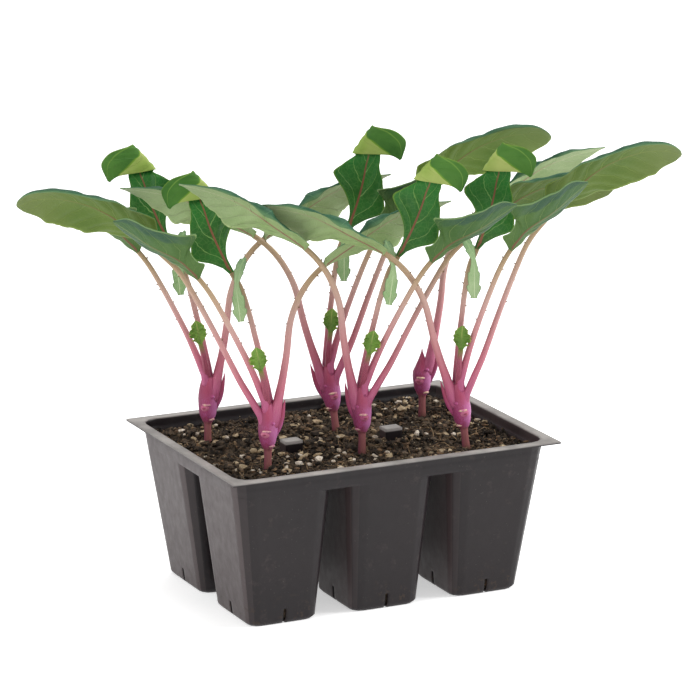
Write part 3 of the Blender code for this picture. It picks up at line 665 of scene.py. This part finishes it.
def edge_reach(leaf, t, sign, seed):
    """How much an uneven edge lengthens or shortens the half width."""
    fade = math.sin(math.pi * min(t * 1.1, 1.0))
    slow = noise.noise(Vector((t * 9, sign * 3.0, seed)))
    quick = noise.noise(Vector((t * 30, sign * 7.0, seed)))
    bite = 1 - leaf.tooth * ((leaf.teeth * t) % 1.0)
    if leaf.blunt and t > 1 - leaf.blunt:
        bite *= math.sqrt(1 - 0.99 * ((t - 1 + leaf.blunt) / leaf.blunt) ** 2)
    return bite * (1 + (0.05 * slow + 0.035 * quick) * fade)


def mark_at(sign, share):
    """The across coordinate, 0 to 1, of a column of the blade."""
    return 0.5 + sign * (RIB_SHARE + (0.5 - RIB_SHARE) * share)


def lift_at(leaf, t, sign, share, half, seed):
    """How far the blade waves and puckers between its veins, in millimetres."""
    fade = math.sin(math.pi * min(t * 1.1, 1.0))
    phase = 0.0 if sign < 0 else 1.7
    ruffle = leaf.wave * half * math.sin(2 * math.pi * leaf.waves * t + phase) * share**1.75
    frill = 0.05 * half * noise.noise(Vector((t * 11, sign * 5.0, seed + 4))) * share**3
    vein = VEINS * t - SWEEP * share**SWEEP_BEND + (LAG if sign > 0 else 0.0)
    pucker = -0.034 * half * math.cos(2 * math.pi * vein) * 4 * share * (1 - share)
    return (ruffle + frill + pucker) * fade


def blade_ring(leaf, hand, here, ahead, t, radius, seed):
    """Upper and lower points across the blade, with their across coordinate."""
    across, upward = axes_at(hand, ahead)
    turn, arch = between(leaf.turn, t), between(leaf.arch, t)
    rib = radius * 0.55 * (1 - t) ** 1.5 + 0.22
    row = []
    for sign, halves in ((-1, leaf.near), (1, leaf.far)):
        half = max(between(halves, t) * edge_reach(leaf, t, sign, seed), rib * 1.1 + 0.15)
        reach = half - rib
        point = across(turn) * (sign * rib)
        last = 0.0
        made = []
        for share in reversed(COLUMNS):
            tilt = turn - sign * arch * (0.1 + 1.2 * (share + last) / 2)
            if sign < 0 and share > ROLLED:
                tilt += between(leaf.roll, t) * (share - ROLLED) / (1 - ROLLED)
            point = point + across(tilt) * (sign * reach * (share - last))
            last = share
            lift = upward(tilt) * lift_at(leaf, t, sign, share, half, seed)
            made.append((here + point + lift, upward(tilt), mark_at(sign, share), share))
        row += made[::-1] if sign < 0 else [(here, upward(turn), 0.5, -1.0)] + made
    return skin_row(row, rib)


def skin_row(row, rib):
    """Both faces of one row of points, thinner to the edges and ribbed below."""
    upper, lower, marks = [], [], []
    for point, up, mark, share in row:
        thick = BLADE_THICK * (1 - 0.5 * max(share, 0) ** 4) / 2
        ridge = rib if share < 0 else rib * 0.45 if share == 0.0 else 0.0
        drop = max(ridge, thick)
        upper.append(point + up * thick)
        lower.append(point - up * drop)
        marks.append(mark)
    return upper, lower, marks


def sheet_rows(plant, kind, hand, seed):
    """Fine rows of a blade that is drawn by its edges and midrib."""
    leaf = LEAVES[kind]
    lines = []
    for side in range(3):
        lines.append(smooth_route([leaf_point(plant, kind, *p[side]) for p in leaf.sheet], 5))
    last = len(lines[0]) - 1
    grid, infos = [], []
    for i, (first, middle, second) in enumerate(zip(*lines)):
        t = i / last
        rib = leaf.petiole[-1] * 0.6 * (1 - t) ** 1.6 + 0.22
        row = []
        for sign, edge in ((-1, first), (1, second)):
            span = (edge - middle) * edge_reach(leaf, t, sign, seed)
            beside = middle + span.normalized() * min(rib, span.length * 0.6)
            half = [(beside.lerp(middle + span, share), sign, share, span.length) for share in COLUMNS]
            row += half if sign < 0 else [(middle, 0, -1.0, 1.0)] + half[::-1]
        grid.append([p[0] for p in row])
        infos.append((t, rib, [p[1:] for p in row]))
    rows, places = [], []
    for i, (t, rib, info) in enumerate(infos):
        before, after = grid[max(i - 1, 0)], grid[min(i + 1, last)]
        row = []
        for j, (sign, share, half) in enumerate(info):
            across = grid[i][min(j + 1, len(info) - 1)] - grid[i][max(j - 1, 0)]
            up = (after[j] - before[j]).cross(across).normalized() * hand
            lift = lift_at(leaf, t, sign, share, half, seed) if sign else 0.0
            row.append((grid[i][j] + up * lift, up, mark_at(sign, share), share))
        rows.append(skin_row(row, rib))
        places.append(t)
    return rows, places


def stalk_ring(leaf, hand, here, ahead, radius):
    """The same number of points round the petiole, a little grooved above."""
    across, upward = axes_at(hand, ahead)
    side, up = across(leaf.turn[0]), upward(leaf.turn[0])
    count = 2 * len(COLUMNS) + 1
    upper, lower, marks = [], [], []
    for k in range(count):
        angle = math.pi * (1 - (k + 0.5) / count)
        flat = side * math.cos(angle) * radius
        groove = 1 - 0.18 * math.exp(-((math.cos(angle) / 0.4) ** 2))
        upper.append(here + flat + up * math.sin(angle) * radius * groove)
        lower.append(here + flat - up * math.sin(angle) * radius)
        marks.append((k + 0.5) / count)
    return upper, lower, marks


def add_spines(plant, kind, stalk, points, uvs, faces, slots):
    """Small prickles on the upper part of the petiole, in the leaves' plane."""
    leaf = LEAVES[kind]
    rng = random.Random(plant.name + kind)
    for k in range(leaf.spines):
        t = 0.35 + 0.62 * (k + rng.random()) / max(leaf.spines, 1)
        here, ahead = stalk[min(int(t * len(stalk)), len(stalk) - 1)][:2]
        out = ahead.cross(AWAY).normalized() * rng.choice((-1, 1))
        out = (out + AWAY * rng.uniform(-0.5, 0.3) + ahead * 0.3).normalized()
        side, other = ahead, ahead.cross(out).normalized()
        root = here + out * leaf.petiole[1] * 0.8
        length = rng.uniform(0.9, 1.7)
        base = len(points)
        for n in range(5):
            turn = 2 * math.pi * n / 5
            points.append(root + (side * math.cos(turn) * 0.55 + other * math.sin(turn) * 0.3))
        points.append(root + out * length + ahead * 0.3)
        uvs.extend([(0.45, 0.5)] * 6)
        faces += [(base + n, base + (n + 1) % 5, base + 5) for n in range(5)]
        faces.append(tuple(range(base, base + 5)))
        slots += [3] * 6


def make_leaf(plant, kind, looks):
    """Petiole and blade as one skin, with a finish for each face."""
    leaf = LEAVES[kind]
    hand = plant.side * leaf.side
    per = 8
    seed = 7.0 * PLANTS.index(plant) + len(kind)
    curve = smooth_route(leaf_route(plant, kind), per)
    joint = leaf.blade_from * per
    stalk = sample(curve, 0, joint, leaf.rings[0], False)
    rows, along = [], []
    flare = 1.25 if kind == ARCHING else 1.1
    x, z = leaf.route[0][:2]
    lean = (stalk[0][0] - leaf_point(plant, kind, 0, z - FOOT_AIM)).normalized()
    for share in () if kind in (HANGING, YOUNG) else (1.0, 0.66, 0.33):
        foot = leaf_point(plant, kind, x * (1 - 0.45 * share), z - FOOT_RUN * share)
        ahead = lean.lerp(stalk[0][1], 1 - share).normalized()
        rows.append(stalk_ring(leaf, hand, foot, ahead, leaf.petiole[0] * flare))
        along.append(0.0)
    for here, ahead, t in stalk:
        swell = 1 + (flare - 1) * max(0.0, 1 - t * 5)
        radius = between(leaf.petiole, t) * swell * (1 + 0.04 * noise.noise(here * 0.15))
        rows.append(stalk_ring(leaf, hand, here, ahead, radius))
        along.append(0.5 * t)
    stalk_rows = len(rows)
    if leaf.sheet:
        made, places = sheet_rows(plant, kind, hand, seed)
        rows += made
        along += [0.5 + 0.5 * max(t, 0.002) for t in places]
    else:
        for here, ahead, t in sample(curve, joint, len(curve) - 1, leaf.rings[1] + 1, True):
            rows.append(blade_ring(leaf, hand, here, ahead, t, leaf.petiole[-1], seed))
            along.append(0.5 + 0.5 * t)
    count = len(rows[0][0])
    points, uvs = [], []
    for (upper, lower, marks), u in zip(rows, along):
        points += upper + lower
        uvs += [(u, v) for v in marks] * 2
    ring, first_blade = 2 * count, stalk_rows - 1
    faces, slots = [], []
    for i in range(len(rows) - 1):
        for face in (0, 1):
            for k in range(count - 1):
                a = i * ring + face * count + k
                faces.append((a, a + 1, a + ring + 1, a + ring))
                slots.append(2 if i < first_blade else face)
        for k in (0, count - 1):
            a, b = i * ring + k, i * ring + count + k
            faces.append((a, b, b + ring, a + ring))
            slots.append(2 if i < first_blade else 0)
    for start in (0, (len(rows) - 1) * ring):
        for k in range(count - 1):
            a, b = start + k, start + count + k
            faces.append((a, a + 1, b + 1, b))
            slots.append(2 if start == 0 else 0)
    add_spines(plant, kind, stalk, points, uvs, faces, slots)
    name = plant.name + "_" + kind
    piece = add_piece(name + "_fine", points, faces, uvs, looks, slots)
    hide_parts(name)


# Stems.

CROWN = 35.0
STEM_PROFILE = (
    (-6.0, 1.9), (0.5, 2.0), (4.0, 1.85), (8.0, 1.75), (11.4, 1.9), (12.4, 2.5), (13.4, 2.9),
    (15.4, 3.8), (18.0, 4.3), (20.5, 4.6), (23.0, 4.65), (25.5, 4.5), (28.0, 4.2),
    (31.0, 3.7), (33.5, 3.0), (CROWN, 2.0), (CROWN + 0.4, 0.6),
)
SHOOT_PROFILE = ((24.0, 1.5), (30.0, 1.8), (34.0, 2.1), (37.0, 1.9), (40.0, 1.3), (42.0, 0.4))
BRACT = ((-3.4, 18.0, 1.0), (-4.9, 22.5, 1.7), (-6.2, 26.5, 1.6), (-7.2, 30.5, 1.1), (-7.9, 34.0, 0.6),
         (-8.3, 36.8, 0.12))


def stem_ring(plant, height, radius, across=0.0, back=0.0, count=28, squash=1.0, seed=0.0):
    """A ring round the plant's own axis, slightly uneven."""
    middle = plant.place(across, height * math.cos(TIP_BACK), back)
    side = (plant.place(1, 0, 0) - plant.place(0, 0, 0)).normalized()
    ring = []
    for k in range(count):
        turn = 2 * math.pi * k / count
        out = side * math.cos(turn) + AWAY * math.sin(turn) * squash
        spot = Vector((math.cos(turn) * 1.2, math.sin(turn) * 1.2, height * 0.16 + seed))
        ring.append(middle + out * radius * (1 + 0.05 * noise.noise(spot)))
    return ring


def add_tube(points, faces, uvs, rings, marks):
    """Rings joined into a closed tube, added to the lists of a mesh."""
    base, count = len(points), len(rings[0])
    for ring, u in zip(rings, marks):
        points += ring
        uvs += [(u, k / count) for k in range(count)]
    for i in range(len(rings) - 1):
        for j in range(count):
            a, b = base + i * count + j, base + i * count + (j + 1) % count
            faces.append((a, b, b + count, a + count))
    faces.append(tuple(range(base, base + count)))
    faces.append(tuple(range(len(points) - count, len(points))))


def finer(profile, per=3):
    """A profile of heights and radii, smoothed."""
    pts = smooth_route([Vector(p) for p in profile], per)
    return [(p[0], max(p[1], 0.2)) for p in pts]


# Buds, scars and hollows: across, height and back, then size, tallness and which finish.
EYELETS = (
    (0.9, 19.2, -3.3, 2.5, 0.85, 3),
    (0.5, 20.7, -3.7, 2.3, 0.34, 1),
    (1.5, 18.8, -4.4, 1.1, 0.5, 2),
    (-1.5, 13.4, -1.9, 2.0, 0.35, 1),
    (-2.2, 24.6, -3.6, 1.3, 0.7, 0),
)


def make_stem(plant, looks):
    """Neck, swelling and side shoot, with bract, buds and leaf scars."""
    seed = 11.0 * PLANTS.index(plant)
    points, faces, uvs = [], [], []
    slim = 0.0 if YOUNG in plant.backs else 0.85
    body = [(z, r * (1 - slim * min(max(z - 24, 0) / 10, 1))) for z, r in finer(STEM_PROFILE)]
    rings = [stem_ring(plant, z, r, seed=seed) for z, r in body]
    add_tube(points, faces, uvs, rings, [max(z, 0) / CROWN for z, r in body])
    shoot = [(z, r * (1 - 0.5 * slim)) for z, r in finer(SHOOT_PROFILE[: 2 if slim else 6])]
    rings = [stem_ring(plant, z, r, 0.6, 1.3, 18, seed=seed) for z, r in shoot]
    add_tube(points, faces, uvs, rings, [0.85 + 0.14 * (z - 24) / 14 for z, r in shoot])
    bract = smooth_route([Vector(p) for p in BRACT], 4)
    rings = [stem_ring(plant, h, max(r, 0.1), a, -0.6, 12, 0.4, seed) for a, h, r in bract]
    add_tube(points, faces, uvs, rings, [0.60 + 0.4 * k / len(bract) for k in range(len(bract))])
    slots = [0] * len(faces)
    for across, height, back, size, tall, slot in EYELETS:
        rings = []
        for k in range(7):
            turn = math.pi * k / 6
            z, r = height - size * math.cos(turn) * tall, max(size * math.sin(turn), 0.12)
            rings.append(stem_ring(plant, z, r, across, back, 14, 0.7, seed))
        add_tube(points, faces, uvs, rings, [0.55 + 0.06 * k / 6 for k in range(7)])
        slots += [slot] * (len(faces) - len(slots))
    name = plant.name + "_stem"
    piece = add_piece(name + "_fine", points, faces, uvs, looks, slots)
    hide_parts(name)


# Soil: a crumbly crust on the plain soil, with loose crumbs, grains, fibres and bark.

CRUST_STEP = 0.8
CRUST_DEPTH = 1.6
WALL_ROOM = 3.2
CORNER = 8
POST_ROOM = (5.2, 4.2)
# The height of each layer of bumps, how close they lie, and the seed of their places.
RELIEF = ((0.9, 0.11, 3.0), (0.9, 0.31, 9.0), (1.5, 0.8, 5.0), (0.8, 2.1, 1.0))


def hills(x, y, scale, seed):
    return noise.noise(Vector((x * scale, y * scale, seed)))


def soil_height(x, y):
    relief = 0.0
    for size, scale, seed in RELIEF:
        relief += size * hills(x, y, scale, seed)
    relief = relief + max(0.0, hills(x, y, 0.3, 21.0)) * 4.2 + 0.5
    return SOIL_LEVEL + 0.1 + relief * (1 - 0.9 * by_post(x, y))


def by_post(x, y):
    """From 0 on open soil to 1 at a post, where the soil lies lower."""
    return math.exp(-(((abs(x) - POST_AT) / 8) ** 2) - (y / 8) ** 2)


def on_soil(x, y):
    """True inside the tray and clear of its posts."""
    half_x, half_y = TRAY_LENGTH / 2 - WALL_ROOM, TRAY_WIDTH / 2 - WALL_ROOM
    if abs(x) > half_x or abs(y) > half_y:
        return False
    corner_x, corner_y = abs(x) - (half_x - CORNER), abs(y) - (half_y - CORNER)
    if corner_x > 0 and corner_y > 0 and math.hypot(corner_x, corner_y) > CORNER:
        return False
    return not (abs(abs(x) - POST_AT) < POST_ROOM[0] and abs(y) < POST_ROOM[1])


def make_crust(look):
    """A fine bumpy sheet over the soil, closed at its rim and holed at the posts."""
    shape = bmesh.new()
    made = {}
    for j in range(int(TRAY_WIDTH / CRUST_STEP) + 1):
        for i in range(int(TRAY_LENGTH / CRUST_STEP) + 1):
            x, y = i * CRUST_STEP - TRAY_LENGTH / 2, j * CRUST_STEP - TRAY_WIDTH / 2
            if on_soil(x, y):
                made[i, j] = shape.verts.new((x, y, soil_height(x, y)))
    for i, j in made:
        quad = [(i, j), (i + 1, j), (i + 1, j + 1), (i, j + 1)]
        if all(q in made for q in quad):
            shape.faces.new([made[q] for q in quad])
    rim = [e for e in shape.edges if len(e.link_faces) == 1]
    for v in bmesh.ops.extrude_edge_only(shape, edges=rim)["geom"]:
        if isinstance(v, bmesh.types.BMVert):
            v.co.z = SOIL_LEVEL - CRUST_DEPTH
    bmesh.ops.delete(shape, geom=[v for v in shape.verts if not v.link_faces], context="VERTS")
    shape.verts.index_update()
    points = [v.co.copy() for v in shape.verts]
    faces = [tuple(v.index for v in f.verts) for f in shape.faces]
    shape.free()
    add_piece("soil_crust", points, faces, None, [look])


def chunk(rng, size, flat):
    """An irregular little solid: a distorted icosahedron."""
    gold = (1 + math.sqrt(5)) / 2
    corners = []
    for a, b in ((1, gold), (-1, gold), (1, -gold), (-1, -gold)):
        corners += [(0, a, b), (a, b, 0), (b, 0, a)]
    seed = rng.uniform(0, 99)
    thin = Vector((1.0, rng.uniform(0.45, 0.9), rng.uniform(0.35, 0.8)))
    spin = Matrix.Rotation(rng.uniform(0, 6.28), 3, "Z") @ Matrix.Rotation(rng.uniform(0, 6.28), 3, "X")
    out = []
    for c in corners:
        v = Vector(c).normalized()
        v *= size * (1 + 0.7 * noise.noise(v * 1.7 + Vector((seed, seed, 0))))
        v = spin @ (v * thin)
        v.z *= flat
        out.append(v)
    return out


def hull_faces(corners):
    shape = bmesh.new()
    made = [shape.verts.new(c) for c in corners]
    bmesh.ops.convex_hull(shape, input=made)
    shape.verts.index_update()
    faces = [tuple(v.index for v in f.verts) for f in shape.faces]
    shape.free()
    return faces


def stems_near(x, y, gap):
    return any((Vector((x, y)) - plant.foot.xy).length < gap for plant in PLANTS)


def any_spot(rng):
    x = rng.uniform(-TRAY_LENGTH / 2, TRAY_LENGTH / 2)
    return x, rng.uniform(-TRAY_WIDTH / 2, TRAY_WIDTH / 2)


def scatter(name, count, sizes, flat, sink, look, seed, patches=False):
    """Many small chunks lying on the soil, in one piece."""
    rng = random.Random(seed)
    unit = hull_faces(chunk(random.Random(1), 1.0, 1.0))
    points, faces = [], []
    while len(faces) < count * len(unit):
        x, y = any_spot(rng)
        keep = hills(x, y, 0.05, seed) > -0.08 or not patches
        if not on_soil(x, y) or stems_near(x, y, 3.4) or not keep or by_post(x, y) > 0.42:
            continue
        size = rng.uniform(*sizes) * rng.uniform(0.6, 1.0)
        base = len(points)
        lift = soil_height(x, y) + size * flat * (1 - sink)
        points += [Vector((x, y, lift)) + c for c in chunk(rng, size, flat)]
        faces += [tuple(base + k for k in f) for f in unit]
    add_piece(name, points, faces, None, [look], smooth=False)


def make_fibres(name, count, length, radius, look, seed):
    """Thin bent fibres and roots lying on the soil."""
    rng = random.Random(seed)
    points, faces, uvs = [], [], []
    placed = 0
    while placed < count:
        x, y = any_spot(rng)
        if stems_near(x, y, 3.0):
            continue
        heading, bend = rng.uniform(0, 6.28), rng.uniform(-0.5, 0.5)
        reach, thick = rng.uniform(*length), rng.uniform(*radius)
        tilt = rng.uniform(-0.1, 0.35)
        rings, ok = [], True
        for k in range(6):
            t = k / 5
            heading += bend / 5
            x += math.cos(heading) * reach / 5
            y += math.sin(heading) * reach / 5
            ok = ok and on_soil(x, y)
            middle = Vector((x, y, soil_height(x, y) + thick + 0.3 + tilt * reach * t * (1 - t) * 2))
            side = Vector((-math.sin(heading), math.cos(heading), 0))
            turns = [2 * math.pi * n / 5 for n in range(5)]
            rings.append([middle + (side * math.cos(a) + UP * math.sin(a)) * thick for a in turns])
        if ok:
            add_tube(points, faces, uvs, rings, [0.0] * len(rings))
            placed += 1
    add_piece(name, points, faces, None, [look])


# The tray and the plain soil stay, with a finish.


def dress_node(name, look):
    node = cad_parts[name]
    node.data.materials.clear()
    node.data.materials.append(look)
    return node


def soften_edges(node, width):
    soft = node.modifiers.new("soft_edges", "BEVEL")
    soft.width = width
    soft.segments = 2
    soft.limit_method = "ANGLE"
    soft.angle_limit = math.radians(50)
    soft.harden_normals = False


# Floor, light and camera.


def make_floor():
    look = Look("studio_floor", 0.85, 0.2)
    look.colour(look.mix(look.noise(3, 2), (0.93, 0.93, 0.93, 1), (0.95, 0.95, 0.95, 1)))
    look.shader.inputs["Emission Color"].default_value = (1, 1, 1, 1)
    look.shader.inputs["Emission Strength"].default_value = 0.5
    mesh = bpy.data.meshes.new("studio_floor")
    corners = [(-12, -12, 0), (12, -12, 0), (12, 12, 0), (-12, 12, 0)]
    mesh.from_pydata(corners, [], [(0, 1, 2, 3)])
    mesh.materials.append(look.material)
    add_object("studio_floor", mesh)


def add_light(name, azimuth, elevation, distance, size, power):
    """An area light aimed at the plants, from a direction in degrees."""
    light = bpy.data.lights.new(name, "AREA")
    light.shape = "DISK"
    light.size = size
    light.energy = power
    lamp = add_object(name, light)
    a, e = math.radians(azimuth), math.radians(elevation)
    back = Vector((math.sin(a) * math.cos(e), -math.cos(a) * math.cos(e), math.sin(e)))
    lamp.location = Vector((0, 0, 0.1)) + back * distance
    aim(lamp, -back)


def make_lights():
    world = bpy.data.worlds.new("studio")
    bpy.context.scene.world = world
    world.use_nodes = True
    background = world.node_tree.nodes["Background"]
    background.inputs["Color"].default_value = (1.0, 1.0, 1.0, 1.0)
    background.inputs["Strength"].default_value = 0.47
    add_light("key", 68, 36, 2.2, 1.0, 30)
    add_light("left", -80, 30, 2.2, 1.0, 15)
    add_light("top", 170, 72, 2.2, 1.2, 17)
    add_light("front", 10, 8, 2.6, 2.0, 7)
    bpy.context.scene.view_settings.view_transform = "Standard"


def make_camera():
    camera = add_object("camera", bpy.data.cameras.new("camera"))
    camera.location = TRAY_AT + VIEW_TARGET - LOOK * VIEW_DISTANCE
    aim(camera, LOOK)
    camera.data.sensor_width = 36
    camera.data.lens = LENS
    camera.data.clip_end = 60
    bpy.context.scene.camera = camera


def make_soil():
    mix = soil_look("potting_soil_mix", (40, 35, 30), (112, 95, 78))
    crumbs = soil_look("crumb_mix", (30, 27, 24), (132, 112, 90), 1.0)
    perlite = grain_look("perlite", (226, 216, 202), (160, 142, 120))
    bark = grain_look("bark", (130, 102, 74), (66, 50, 38))
    tan = grain_look("tan_wood", (192, 174, 144), (134, 112, 84))
    fibre = grain_look("fibre", (156, 130, 98), (66, 50, 36))
    dress_node("potting_soil", mix)
    make_crust(mix)
    scatter("soil_crumbs", 3400, (0.5, 2.0), 0.8, 0.3, crumbs, 5)
    scatter("soil_clods", 420, (1.6, 3.6), 0.8, 0.4, mix, 6)
    scatter("perlite_grains", 90, (1.2, 2.8), 0.9, 0.3, perlite, 7, True)
    scatter("bark_chips", 340, (0.9, 2.6), 0.6, 0.25, bark, 8)
    scatter("tan_chips", 230, (0.8, 3.2), 0.7, 0.3, tan, 12, True)
    scatter("pale_specks", 1100, (0.3, 0.7), 0.8, 0.2, tan, 13)
    make_fibres("soil_fibres", 220, (4, 15), (0.10, 0.28), fibre, 9)


def leaf_skins():
    """For each kind of leaf the skins of its upper face, its underside and its stalk."""
    stalk = stalk_look()
    pale_under = blade_look(
        "pale_underside", (114, 143, 80), (150, 170, 120), (186, 199, 156), (137, 97, 83),
        (172, 190, 132), (142, 162, 114), mottle=0.9, raised=0.9)
    blue_upper = blade_look(
        "blue_green_upper", (34, 76, 54), (52, 98, 72), (96, 136, 98), (104, 78, 62), (96, 132, 88))
    green_upper = blade_look(
        "deep_green_upper", (16, 69, 18), (27, 101, 31), (132, 170, 91), (126, 80, 58),
        (102, 136, 41), (22, 114, 39), mottle=0.9, roughness=0.42, tip_from=0.22)
    folded_under = blade_look(
        "folded_tip_underside", (96, 132, 60), (126, 156, 88), (150, 172, 108), (140, 88, 70),
        (150, 176, 96), lobe=True)
    olive_under = blade_look(
        "olive_underside", (68, 95, 26), (93, 114, 42), (111, 130, 59), (103, 73, 45),
        (122, 142, 63), (97, 113, 56), tip_from=0.6)
    mint = blade_look(
        "mint_blade", (124, 160, 104), (166, 189, 143), (200, 213, 172), (144, 174, 124),
        (77, 110, 66), mottle=0.8, edge_from=0.84, hood=(102, 141, 97))
    bright = blade_look(
        "bright_young_blade", (52, 98, 32), (112, 152, 58), (166, 176, 98), (100, 127, 58),
        (187, 174, 103), mottle=1.0, raised=0.9)
    twist_under = blade_look(
        "blue_green_underside", (53, 87, 38), (76, 105, 50), (106, 130, 72), (109, 79, 56),
        (129, 155, 94), (54, 88, 52), mottle=0.9, tip_from=0.42, turned=(38, 72, 58))
    return {
        ARCHING: (blue_upper, pale_under, stalk),
        UPRIGHT: (green_upper, folded_under, stalk),
        TWISTED: (blue_upper, twist_under, stalk),
        LONG: (blue_upper, olive_under, stalk),
        HANGING: (mint, mint, mint),
        YOUNG: (bright, bright, sheath_look()),
    }


def grow_plants():
    skins = leaf_skins()
    # A lighter copy of the olive underside: painted light that stands in for light falling on one leaf.
    lit_olive_copy = blade_look(
        "light_olive_underside", (92, 126, 38), (122, 150, 60), (140, 164, 80), (124, 88, 56),
        (150, 172, 80), (134, 156, 84), tip_from=0.6)
    hollow = grain_look("bud_hollow", (160, 80, 96), (136, 62, 84))
    bud = grain_look("bud_skin", (204, 122, 146), (176, 84, 124))
    stem_skins = (stem_look(), scar_look(), hollow, bud)
    prickle = prickle_look()
    for plant in PLANTS:
        make_stem(plant, stem_skins)
        for kind in plant.backs:
            upper, under, stalk = skins[kind]
            # This plant's long leaf gets the lighter copy: painted light.
            if kind == LONG and plant.name == LIT_COPY_PLANT:
                under = lit_olive_copy
            make_leaf(plant, kind, (upper, under, stalk, prickle))


make_camera()
make_floor()
make_lights()
soften_edges(dress_node("tray", tray_look()), 0.4 * MM)
make_soil()
grow_plants()
